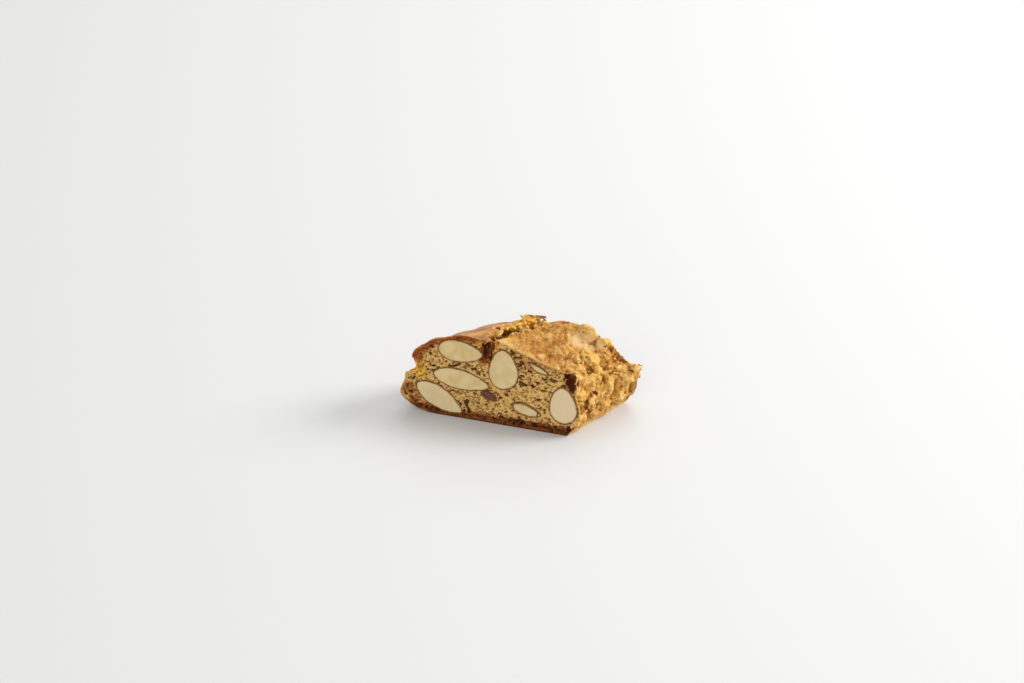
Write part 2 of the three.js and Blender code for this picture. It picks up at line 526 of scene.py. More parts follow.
def boxed(points: np.ndarray) -> np.ndarray:
    """Keeps points above what the slice rests on, and close to the solids' box.

    Args:
        points: Rows of points in metres.

    Returns:
        The points, moved where they have to be.
    """
    low, high = np.array(CAD_BOX[0]), np.array(CAD_BOX[1])
    spare = (high - low) * BOX_SPARE
    return points.clip([*(low - spare)[:2], 0.0], high + spare)


def store(obj: Object, kept: dict[str, np.ndarray]) -> None:
    """Keeps numbers for each vertex as named attributes.

    Args:
        obj: The mesh object.
        kept: The numbers, by the attribute's name.
    """
    for name, values in kept.items():
        attribute = obj.data.attributes.new(name, "FLOAT", "POINT")
        attribute.data.foreach_set("value", values.astype(np.float32))


def group(obj: Object, name: str, weights: np.ndarray) -> None:
    """Keeps one weight for each vertex as a vertex group, in even steps.

    Args:
        obj: The mesh object.
        name: The group's name.
        weights: The weights, from 0 to 1.
    """
    made = obj.vertex_groups.new(name=name)
    steps = np.rint(weights.clip(0, 1) * GROUP_STEPS).astype(int)
    for step in range(1, GROUP_STEPS + 1):
        members = np.flatnonzero(steps == step)
        if len(members):
            made.add(members.tolist(), step / GROUP_STEPS, "REPLACE")


def tree_of(points: np.ndarray) -> kdtree.KDTree:
    """Makes a search tree of points.

    Args:
        points: The points, as rows.

    Returns:
        The tree, which knows each point by its row.
    """
    tree = kdtree.KDTree(len(points))
    for i, point in enumerate(points):
        tree.insert(point, i)
    tree.balance()
    return tree


def nearest(known: np.ndarray, asked: np.ndarray) -> tuple[np.ndarray, np.ndarray]:
    """Finds, for each asked point, the nearest known one.

    Args:
        known: Points to search among.
        asked: Points to search from.

    Returns:
        The row of the nearest known point for each, and the distance to it.
    """
    tree = tree_of(known)
    found = [tree.find(point) for point in asked]
    return np.array([f[1] for f in found]), np.array([f[2] for f in found])


# ---- material helpers


class NodeSheet:
    """A material's node tree, with short ways to add and link its nodes."""

    FIRST_COLOUR, SECOND_COLOUR, MIXED_COLOUR = 6, 7, 2

    def __init__(self, name: str) -> None:
        """Starts a material with an empty Principled shader.

        Args:
            name: The material's name.
        """
        self.material = bpy.data.materials.new(name)
        self.material.use_nodes = True
        self.tree = self.material.node_tree
        self.tree.nodes.clear()
        self.shader = self.add("BsdfPrincipled", {})
        self.add("OutputMaterial", {"Surface": self.shader.outputs["BSDF"]})

    def add(self, kind: str, inputs: dict[str | int, Value], **options: str) -> Node:
        """Adds a node.

        Args:
            kind: Its type, without the ShaderNode that Blender puts before it.
            inputs: What its sockets get, by their names or numbers.
            options: Values for the node's own properties.

        Returns:
            The new node.
        """
        node = self.tree.nodes.new(f"ShaderNode{kind}")
        adjust(node, options)
        self.feed(node, inputs)
        return node

    def feed(self, node: Node, inputs: dict[str | int, Value]) -> None:
        """Sets a node's sockets to numbers and colours, or links other nodes to them.

        Args:
            node: The node.
            inputs: What its sockets get, by their names or numbers.
        """
        for name, value in inputs.items():
            socket = node.inputs[name]
            if isinstance(value, NodeSocket):
                self.tree.links.new(value, socket)
            else:
                socket.default_value = (*value, 1) if socket.type == "RGBA" else value

    def finish(self, inputs: dict[str, Value]) -> Material:
        """Feeds the shader's own sockets, and gives the material."""
        self.feed(self.shader, inputs)
        return self.material

    def place(self, scale: Triple = (1, 1, 1)) -> NodeSocket:
        """Gives object coordinates in millimetres, stretched along each axis."""
        inputs = {"Scale": tuple(s / MM for s in scale), "Vector": self.here()}
        return self.add("Mapping", inputs).outputs["Vector"]

    def here(self) -> NodeSocket:
        """Gives object coordinates in metres."""
        return self.add("TexCoord", {}).outputs["Object"]

    def read(self, name: str) -> NodeSocket:
        """Reads a number that the mesh keeps for each vertex."""
        return self.add("Attribute", {}, attribute_name=name).outputs["Fac"]

    def noise(
        self,
        size: float,
        detail: float = 3,
        roughness: float = 0.55,
        place: NodeSocket | None = None,
        twist: float = 0.0,
    ) -> NodeSocket:
        """Adds fractal noise.

        Args:
            size: Width of its largest blotches, in millimetres.
            detail: How many finer layers it has.
            roughness: How strong the finer layers are.
            place: Where it is read, or None for plain object coordinates.
            twist: How far the pattern is distorted.

        Returns:
            A number around 0.5.
        """
        inputs = {
            "Scale": 1 / size,
            "Detail": detail,
            "Roughness": roughness,
            "Distortion": twist,
            "Vector": place or self.place(),
        }
        return self.add("TexNoise", inputs).outputs["Fac"]

    def math(self, kind: str, *values: Value) -> NodeSocket:
        """Adds a sum of numbers of the named kind, such as ADD or MULTIPLY."""
        return self.add("Math", dict(enumerate(values)), operation=kind).outputs["Value"]

    def stray(self, name: str, noise: NodeSocket, amount: float) -> NodeSocket:
        """Reads one of the mesh's numbers, and lets a noise carry it up and down by an amount."""
        sway = self.math("MULTIPLY", self.math("SUBTRACT", noise, 0.5), amount)
        return self.math("ADD", self.read(name), sway)

    def span(
        self, value: Value, low: float, high: float, start: float = 0.0, end: float = 1.0
    ) -> NodeSocket:
        """Maps a number, smoothly and held at both ends.

        Args:
            value: The number.
            low: Where it begins to change.
            high: Where it stops.
            start: What it gives up to low.
            end: What it gives from high on.

        Returns:
            The mapped number.
        """
        ends = {"From Min": low, "From Max": high, "To Min": start, "To Max": end}
        node = self.add("MapRange", {"Value": value, **ends}, interpolation_type="SMOOTHSTEP")
        return node.outputs["Result"]

    def mix(self, share: Value, first: Value, second: Value) -> NodeSocket:
        """Mixes two colours by a share from 0 to 1."""
        inputs = {"Factor": share, self.FIRST_COLOUR: first, self.SECOND_COLOUR: second}
        return self.add("Mix", inputs, data_type="RGBA").outputs[self.MIXED_COLOUR]

    def coats(self, ground: Value, *layers: tuple[Value, Value]) -> NodeSocket:
        """Lays colours over one another.

        Args:
            ground: The lowest colour.
            layers: The share from 0 to 1 of each coat, and its colour.

        Returns:
            The colour that shows.
        """
        for share, colour in layers:
            ground = self.mix(share, ground, colour)
        return ground

    def bump(self, height: Value, distance: float, under: NodeSocket | None = None) -> NodeSocket:
        """Turns a height from 0 to 1 into a normal.

        Args:
            height: The height.
            distance: How high 1 is, in millimetres.
            under: The normal it starts from, or None for the mesh's own.

        Returns:
            The normal.
        """
        inputs = {"Distance": distance * MM, "Height": height}
        if under is not None:
            inputs["Normal"] = under
        return self.add("Bump", inputs).outputs["Normal"]


def linear(*colour: int) -> Triple:
    """Turns a display colour of 0 to 255 into the linear one that shaders use.

    Args:
        colour: Its red, green and blue.

    Returns:
        The linear colour.
    """
    shares = [value / 255 for value in colour]
    return tuple(s / 12.92 if s <= 0.04045 else ((s + 0.055) / 1.055) ** 2.4 for s in shares)


@dataclass(frozen=True)
class DoughFinish:
    """Baked dough: a browned crust, and a paler crumb where it is cut."""

    # Pale flecks of the crumb, and also its painted highlights on bulges.
    crumb_pale_and_highlight: Triple = linear(242, 202, 124)
    crumb_tan: Triple = linear(222, 174, 96)
    crumb_brown: Triple = linear(180, 126, 64)
    # Painted shade in the pores and pits.
    pore_shade: Triple = linear(94, 50, 16)
    # Painted shade in the deep holes and the crack.
    hole_shade: Triple = linear(110, 44, 8)
    # The burnt base, and also the painted shade of the pores near it.
    burnt_and_pore_shade: Triple = linear(66, 24, 4)
    base_brown: Triple = linear(136, 78, 28)
    rim_brown: Triple = linear(162, 80, 22)
    crust_gold: Triple = linear(224, 170, 72)
    crust_tan: Triple = linear(192, 132, 46)
    crust_rose: Triple = linear(172, 100, 44)
    # The colour of the painted highlight on the glossy patch.
    painted_sheen: Triple = linear(250, 212, 154)
    crust_brown: Triple = linear(156, 88, 24)
    # Painted shade for the crust's creases and round the almond pockets.
    painted_shade_brown: Triple = linear(122, 60, 14)
    # Pale streaks of the crust, and also its painted highlights on bulges.
    crust_pale_and_highlight: Triple = linear(252, 216, 140)
    toast_brown: Triple = linear(130, 54, 6)
    torn_yellow: Triple = linear(242, 190, 58)
    torn_amber: Triple = linear(196, 104, 18)
    matt: float = 0.6
    glossy: float = 0.38
    specular: float = 0.3
    glow_radius: Triple = (1.0, 0.6, 0.25)
    glow_depth: float = 0.6

    def material(self) -> Material:
        """Builds the dough's material.

        Returns:
            A material that reads the dough's own vertex attributes.
        """
        sheet = NodeSheet("baked_dough")
        cut, shade = sheet.read("cut"), sheet.read("shade")
        skin = sheet.mix(cut, self.crust(sheet), self.crumb(sheet))
        shine = sheet.math("MAXIMUM", sheet.read("gloss"), sheet.read("sheen"))
        rough = sheet.span(shine, 0, 1, self.matt, self.glossy)
        rough = sheet.math("ADD", rough, sheet.math("MULTIPLY", cut, 0.22))
        wrinkles = sheet.noise(1.0, 3, 0.6, sheet.place((0.5, 1.6, 1.0)), 0.6)
        grain = sheet.bump(sheet.noise(0.55, 4, 0.7), 0.2)
        return sheet.finish(
            {
                # Painted shade darkens the deep holes and the crack.
                "Base Color": sheet.mix(sheet.span(shade, 0.15, 0.7), skin, self.hole_shade),
                "Roughness": sheet.math("MAXIMUM", rough, sheet.span(shade, 0, 0.7, 0, 0.95)),
                "Specular IOR Level": self.specular,
                "IOR": 1.42,
                "Subsurface Weight": 0.08,
                "Subsurface Radius": self.glow_radius,
                "Subsurface Scale": self.glow_depth * MM,
                "Normal": sheet.bump(wrinkles, 0.12, grain),
            }
        )

    def crumb(self, sheet: NodeSheet) -> NodeSocket:
        """Colours the crumb: flecked, browner towards the crust, with painted shade in pores and
        round almonds and painted highlights on bulges.

        Args:
            sheet: The material's nodes.

        Returns:
            The crumb's colour.
        """
        flecks = sheet.noise(0.8, 4, 0.7)
        pinholes = sheet.noise(0.42, 2, 0.5, sheet.place((0.6, 1.0, 1.0)))
        clumps = sheet.noise(1.5, 4, 0.65, sheet.place((0.7, 1.0, 1.0)))
        base = sheet.read("base")
        clotted = sheet.span(clumps, 0.46, 0.6, 0, 0.85)
        burnt = sheet.math("MULTIPLY", sheet.span(base, 0.3, 0.8), clotted)
        burnt = sheet.math("MAXIMUM", burnt, sheet.span(base, 1.2, 1.9, 0, 0.8))
        # The painted shade of the pores, browner towards the base.
        pore = sheet.mix(base, self.pore_shade, self.burnt_and_pore_shade)
        return sheet.coats(
            self.crumb_tan,
            (sheet.span(flecks, 0.36, 0.62), self.crumb_pale_and_highlight),
            (sheet.span(sheet.noise(4.0, 3, 0.6), 0.5, 0.7, 0, 0.5), self.crumb_brown),
            # Painted highlights on the bulges.
            (sheet.math("MULTIPLY", sheet.read("bulge"), 0.5), self.crumb_pale_and_highlight),
            (sheet.span(pinholes, 0.54, 0.68, 0, 0.6), self.rim_brown),
            (sheet.span(sheet.stray("band", flecks, 1.3), 0.12, 0.85), self.rim_brown),
            # Painted shade round the almond pockets.
            (sheet.span(sheet.stray("pocket_shade", flecks, 1.3), 0.3, 1.1, 0, 0.7), self.painted_shade_brown),
            (sheet.span(sheet.stray("base", clumps, 2.2), 0.3, 0.8, 0, 0.85), self.base_brown),
            (burnt, self.burnt_and_pore_shade),
            # Painted shade in the pores, darker the deeper they sink.
            (sheet.span(sheet.read("deep"), 0.08, 0.75, 0, 0.95), pore),
        )

    def crust(self, sheet: NodeSheet) -> NodeSocket:
        """Colours the crust: gold to brown, with painted shade in creases and pits, painted
        highlights on bulges.

        Args:
            sheet: The material's nodes.

        Returns:
            The crust's colour.
        """
        fine = sheet.noise(1.3, 4, 0.65)
        streaks = sheet.noise(1.1, 4, 0.7, sheet.place((0.35, 1.0, 1.3)), 0.8)
        gloss, sheen = sheet.read("gloss"), sheet.read("sheen")
        flesh = sheet.span(sheet.noise(1.6, 3, 0.6), 0.46, 0.6)
        toast = sheet.stray("toast", fine, 0.9)
        # Painted highlights on the bulges, weaker where toasted.
        bump_highlight = sheet.math("MULTIPLY", sheet.read("bulge"), sheet.span(toast, 0.3, 1, 0.75, 0.35))
        calm = sheet.span(sheet.math("MAXIMUM", gloss, sheen), 0, 1, 1, 0.4)
        # Painted shade in the creases, softer on the glossy patches.
        sunk = sheet.math("MULTIPLY", sheet.span(sheet.read("hollow"), 0.1, 0.7, 0, 0.85), calm)
        torn = sheet.mix(flesh, self.torn_yellow, self.torn_amber)
        return sheet.coats(
            self.crust_tan,
            (sheet.span(sheet.noise(8, 4, 0.6), 0.38, 0.64), self.crust_gold),
            (sheet.span(fine, 0.48, 0.68, 0, 0.6), self.crust_brown),
            (sheet.span(streaks, 0.52, 0.72, 0, 0.5), self.crust_pale_and_highlight),
            (sheet.span(gloss, 0, 1, 0, 0.8), self.crust_rose),
            # A painted highlight on the glossy patch.
            (sheet.span(sheen, 0.2, 0.8, 0, 0.7), self.painted_sheen),
            (sheet.span(toast, 0.15, 0.9, 0, 0.95), self.toast_brown),
            (bump_highlight, self.crust_pale_and_highlight),
            (sheet.span(sheet.read("torn"), 0.25, 0.7, 0, 0.85), torn),
            (sunk, self.painted_shade_brown),
            # Painted shade in the crust's pits.
            (sheet.span(sheet.read("deep"), 0.15, 1.2, 0, 0.8), self.pore_shade),
        )


@dataclass(frozen=True)
class CrumbFinish:
    """Loose crumbs, from pale yellow to brown."""

    pale: Triple = linear(234, 192, 112)
    brown: Triple = linear(176, 112, 46)

    def material(self) -> Material:
        """Builds the material of the loose crumbs.

        Returns:
            A material that reads the tone that each crumb keeps.
        """
        sheet = NodeSheet("loose_crumb")
        tone = sheet.stray("tone", sheet.noise(0.3, 2), 1.2)
        return sheet.finish(
            {
                "Base Color": sheet.mix(sheet.span(tone, 0.3, 1.1), self.pale, self.brown),
                "Roughness": 0.8,
                "Normal": sheet.bump(sheet.noise(0.2, 3, 0.6), 0.06),
            }
        )


@dataclass(frozen=True)
class KernelFinish:
    """An almond: a cream heart where it is cut, inside a thin brown skin."""

    name: str
    heart: Triple = linear(227, 202, 144)
    heart_shade: Triple = linear(212, 184, 120)
    heart_edge: Triple = linear(208, 177, 116)
    heart_blush: Triple = linear(230, 206, 166)
    skin: Triple = linear(164, 118, 70)
    skin_dark: Triple = linear(108, 66, 32)
    glow_radius: Triple = (1.0, 0.7, 0.4)
    glow_depth: float = 0.8

    def material(self) -> Material:
        """Builds the almond's material.

        Returns:
            A material that reads how near the skin each vertex is.
        """
        sheet = NodeSheet(self.name)
        edge = sheet.stray("edge", sheet.noise(1.6, 3, 0.6), 0.7)
        along = sheet.math("MULTIPLY", sheet.read("along"), 0.12)
        lie = sheet.add("CombineXYZ", {"X": along, "Y": sheet.read("aside")}).outputs["Vector"]
        grain = sheet.noise(1.1, 4, 0.65, lie)
        heart = sheet.coats(
            self.heart,
            (sheet.span(sheet.noise(5, 3, 0.55), 0.38, 0.66), self.heart_shade),
            (sheet.span(grain, 0.48, 0.7, 0, 0.45), self.heart_shade),
            (sheet.math("MULTIPLY", sheet.read("blush"), 0.85), self.heart_blush),
            (sheet.span(edge, 0.3, 1.1, 0.5, 0), self.heart_edge),
        )
        mottle = sheet.span(sheet.noise(0.7, 4, 0.65), 0.4, 0.65)
        skin = sheet.span(edge, 0.26, 0.46, 1, 0)
        pits = sheet.bump(sheet.noise(0.35, 3, 0.6), 0.03)
        return sheet.finish(
            {
                "Base Color": sheet.mix(skin, heart, sheet.mix(mottle, self.skin, self.skin_dark)),
                "Roughness": sheet.span(skin, 0, 1, 0.46, 0.7),
                "IOR": 1.45,
                "Subsurface Weight": 0.15,
                "Subsurface Radius": self.glow_radius,
                "Subsurface Scale": self.glow_depth * MM,
                "Normal": sheet.bump(grain, 0.08, pits),
            }
        )


# ---- places on the dough


@dataclass(frozen=True)
class Blob:
    """A lump or flake: its place, radii and turn, in millimetres and degrees."""

    at: Triple
    radii: Triple
    turn: Triple = (0, 0, 0)


@dataclass(frozen=True)
class Pore:
    """A hollow that sinks into the surface: place in metres, radii in millimetres, and axes.

    The phase shifts the ripples of its outline, so that no two are alike.
    """

    place: np.ndarray
    radii: np.ndarray
    axes: np.ndarray
    phase: float


# The crust's own lumps.
LUMPS = [
    Blob((38.4, 9.6, 14.8), (3.4, 3.6, 3.4), (0, 20, 30)),
    Blob((29.2, 0.8, 19.0), (3.6, 3.2, 4.0), (10, 12, 0)),
    Blob((29.2, -5.0, 9.6), (2.4, 3.2, 4.6), (8, 6, 10)),
    Blob((32.6, 2.6, 12.6), (2.8, 3.0, 5.0), (0, 14, 20)),
    Blob((35.8, 7.4, 6.6), (2.8, 3.8, 3.0), (0, 20, 0)),
    Blob((26.2, 3.6, 24.0), (4.6, 3.4, 2.4), (0, 34, 0)),
    Blob((20.6, 9.0, 28.4), (4.4, 2.6, 1.6), (0, 24, 20)),
    Blob((23.2, 10.6, 30.4), (4.8, 2.7, 4.0), (0, 12, 0)),
    Blob((29.6, 10.4, 27.0), (3.2, 2.7, 3.3), (0, 20, 0)),
    Blob((41.9, 11.4, 18.1), (2.8, 2.2, 1.1), (0, 6, 20)),
    Blob((-34.4, -5.8, 23.3), (3.8, 9.6, 2.0), (0, -54, -29)),
    Blob((-38.4, -9.3, 13.0), (2.2, 6.5, 2.4), (0, -10, -29)),
    Blob((-34.0, 0.5, 12.6), (1.8, 5.5, 1.5), (0, -14, -29)),
    Blob((-11.8, -7.4, 32.0), (1.2, 1.5, 1.0), (0, 0, 30)),
    Blob((-10.6, -8.6, 30.4), (1.0, 1.4, 1.2), (0, 20, 0)),
    Blob((-5.9, -8.0, 31.0), (1.5, 1.8, 1.4), (0, 20, 40)),
]

# The tall torn flakes at the crack's far end, and one over the split at the left.
TALL_FLAKES = [
    Blob((0.4, 9.8, 33.3), (3.0, 1.6, 0.5), (14, 4, 40)),
    Blob((3.0, 12.0, 33.4), (2.9, 1.5, 0.5), (10, -4, 24)),
    Blob((5.0, 12.8, 33.5), (1.6, 1.1, 0.5), (-8, -14, -4)),
    Blob((-37.2, -9.0, 21.7), (1.9, 1.5, 0.5), (0, -28, -29)),
]

# The height of the slice's crest, where both lips of the crack start and end, and places along
# it, with how far each reaches.
CREST = 33.3
CRACK_LIPS = [((-13.0, -10.5, 32.4), (4.4, 13.4, 33.2)), ((-6.6, -10.5, 32.6), (7.6, 12.6, 31.8))]
# The crack's pits: sunk into the crust, and darkened with painted shade.
CRACK_PITS = [
    ((-8.6, -5.6, 30.8), 1.4), ((-6.8, -3.0, 30.9), 1.6),
    ((-5.2, -0.6, 30.9), 1.9), ((-3.7, 1.2, 30.6), 1.6),
]  # fmt: skip
TORN_SPOTS = [
    ((-10.5, -11.0, 31.0), 2.4), ((-8.0, -5.0, 31.4), 2.6), ((-5.0, 0.0, 31.6), 3.0),
    ((-2.4, 3.6, 31.8), 3.2), ((0.4, 6.6, 32.0), 3.4), ((3.0, 10.0, 32.4), 3.6),
    ((6.0, 13.6, 32.0), 3.4),
]  # fmt: skip

# The split round the left end, the lip of dough below it, and the browned face of that heel.
SPLIT_SPOTS = [
    ((-36.6, -11.8, 16.8), 4.4), ((-36.0, -4.0, 17.5), 4.4),
    ((-33.0, 3.0, 17.0), 4.6), ((-28.0, 10.0, 17.0), 4.8),
]  # fmt: skip
HEEL_LIP = [
    ((-41.0, -12.0, 12.5), 3.0), ((-38.6, -5.0, 12.6), 3.2),
    ((-35.0, 3.0, 12.6), 3.4), ((-30.0, 11.0, 12.4), 3.4),
]  # fmt: skip
HEEL_FACE = [((-40.0, -13.0, 8.5), 4.2), ((-37.5, -13.6, 4.2), 3.8), ((-33.0, -14.0, 2.6), 3.0)]

# The smoky patch right of the crack, and the smooth glossy patch on top of the rugged end, which
# gets a painted highlight.
SMOKY_FACE = [((0.6, -9.4, 29.2), 2.6), ((3.6, -9.6, 28.0), 3.6), ((8.5, -10.2, 25.8), 3.2)]
GLOSS_SPOTS = [((20.6, 6.6, 29.6), 3.6), ((24.1, 8.2, 27.8), 4.2), ((28.0, 9.4, 26.4), 3.0)]

# The creases of the rugged end, each as points along it.
CREASES = [
    [(27.0, 10.6, 27.2), (29.4, 10.0, 25.3), (31.7, 8.9, 22.4), (33.5, 9.7, 20.0)],
    [(33.5, 9.7, 20.0), (35.2, 6.1, 19.0), (36.7, 5.3, 16.6), (38.7, 8.4, 12.9)],
    [(25.2, -6.4, 24.4), (27.6, -2.2, 23.8), (30.0, 1.4, 22.6), (31.6, 5.0, 22.6)],
    [(30.6, -2.6, 16.2), (30.6, -2.9, 14.6), (30.4, -2.9, 13.2), (30.2, -3.0, 11.8)],
    [(33.4, 2.0, 17.0), (34.4, 3.2, 13.6), (34.4, 2.8, 10.4), (33.6, 1.2, 8.0)],
]

# The larger holes of the front face: across and up on it, and their radii.
FRONT_HOLES = [
    (-8.9, 31.6, (0.9, 1.5, 3.6)), (-8.0, 29.6, (1.2, 1.5, 4.2)), (-8.6, 27.6, (1.3, 1.3, 3.6)),
    (-7.2, 27.0, (0.9, 1.0, 2.4)), (-6.4, 31.0, (0.8, 0.7, 1.6)), (5.2, 25.6, (1.3, 0.7, 1.4)),
    (2.2, 28.9, (1.2, 0.8, 1.2)), (4.6, 28.0, (1.3, 0.5, 1.0)), (5.4, 19.0, (0.8, 1.1, 1.3)),
    (9.1, 17.8, (1.3, 0.8, 1.5)), (1.1, 30.1, (1.0, 0.6, 1.2)), (14.0, 21.0, (1.1, 0.5, 1.2)),
    (-19.6, 21.2, (0.9, 0.45, 1.2)), (-22.0, 20.4, (1.2, 0.4, 1.1)), (-11.2, 19.5, (0.9, 0.4, 1.0)),
    (-8.9, 19.1, (0.8, 0.5, 1.0)), (-21.8, 10.3, (1.5, 0.5, 1.0)), (-19.0, 10.0, (1.2, 0.4, 1.0)),
    (-15.2, 5.9, (0.8, 1.5, 1.8)), (-14.6, 3.4, (0.8, 1.2, 1.6)), (23.3, 23.4, (1.3, 1.6, 3.0)),
    (24.4, 21.4, (1.4, 1.9, 3.2)), (25.4, 20.0, (1.1, 1.4, 2.2)), (-37.6, 7.5, (1.0, 0.8, 1.4)),
    (-36.8, 5.2, (0.9, 0.6, 1.2)), (-34.7, 4.0, (1.0, 0.6, 1.1)), (-38.8, 9.8, (0.8, 0.7, 1.0)),
    (-39.4, 6.2, (0.8, 0.7, 1.2)), (-38.2, 3.8, (0.8, 0.5, 1.0)), (-32.6, 2.4, (0.9, 0.5, 0.9)),
    (-4.5, 2.1, (1.0, 0.4, 1.0)), (-0.6, 3.4, (0.9, 0.5, 1.0)), (5.2, 2.7, (1.2, 0.8, 1.3)),
    (7.4, 2.3, (1.1, 0.7, 1.2)), (11.9, 2.2, (1.5, 0.6, 1.3)), (16.0, 1.6, (1.2, 0.4, 1.0)),
    (19.7, 2.7, (0.8, 0.5, 1.0)), (24.4, 2.5, (1.1, 1.1, 1.8)), (-18.8, 21.4, (0.8, 0.45, 1.1)),
    (-16.4, 21.2, (0.9, 0.4, 1.0)), (-13.4, 20.6, (0.9, 0.4, 1.0)),
]  # fmt: skip

# The two deep holes of the front face, darkened with painted shade, and the raw dough beside one,
# across and up on it.
FISSURE = [(-8.2, 30.6), (-8.0, 29.2), (-8.6, 27.6), (-7.2, 27.0)]
SHOULDER_HOLE = [(22.6, 23.4), (23.8, 22.0), (25.2, 20.6)]
RAW_DOUGH = [(-11.2, 31.0), (-5.2, 31.4), (-4.6, 29.6)]


def front_spots(places: list[tuple[float, float]], depth: float, reach: float) -> list[Spot]:
    """Turns places on the front face into spots, a depth behind it and with one reach."""
    return [(tuple(FACES[Side.FRONT].place(*at, depth) / MM), reach) for at in places]


HOLE_SPOTS = front_spots(FISSURE + SHOULDER_HOLE, 1.2, 2.4)
RAW_SPOTS = front_spots(RAW_DOUGH, 0.4, 1.7)

# What roughens the dough, each on the vertex group that it names.
RUFFLES = [
    Ruffle(Grain.PEBBLES, 6.2, -2.2, 0.2, "lumps"),
    Ruffle(Grain.CLOUDS, 3.6, 2.6, 0.5, "crags"),
    Ruffle(Grain.PEBBLES, 2.7, -0.6, 0.2, "crags"),
    Ruffle(Grain.RIDGES, 2.8, 0.4, 0.5, "crags"),
    Ruffle(Grain.CLOUDS, 1.1, 0.7, 0.5, "crags"),
    Ruffle(Grain.CLOUDS, 2.0, 3.4, 0.5, "torn"),
    Ruffle(Grain.CLOUDS, 0.8, 0.9, 0.5, "torn"),
    Ruffle(Grain.CLOUDS, 3.4, 0.5, 0.5, "crust"),
    Ruffle(Grain.CLOUDS, 0.8, 0.4, 0.62, "cut"),
]


# ---- the baked dough


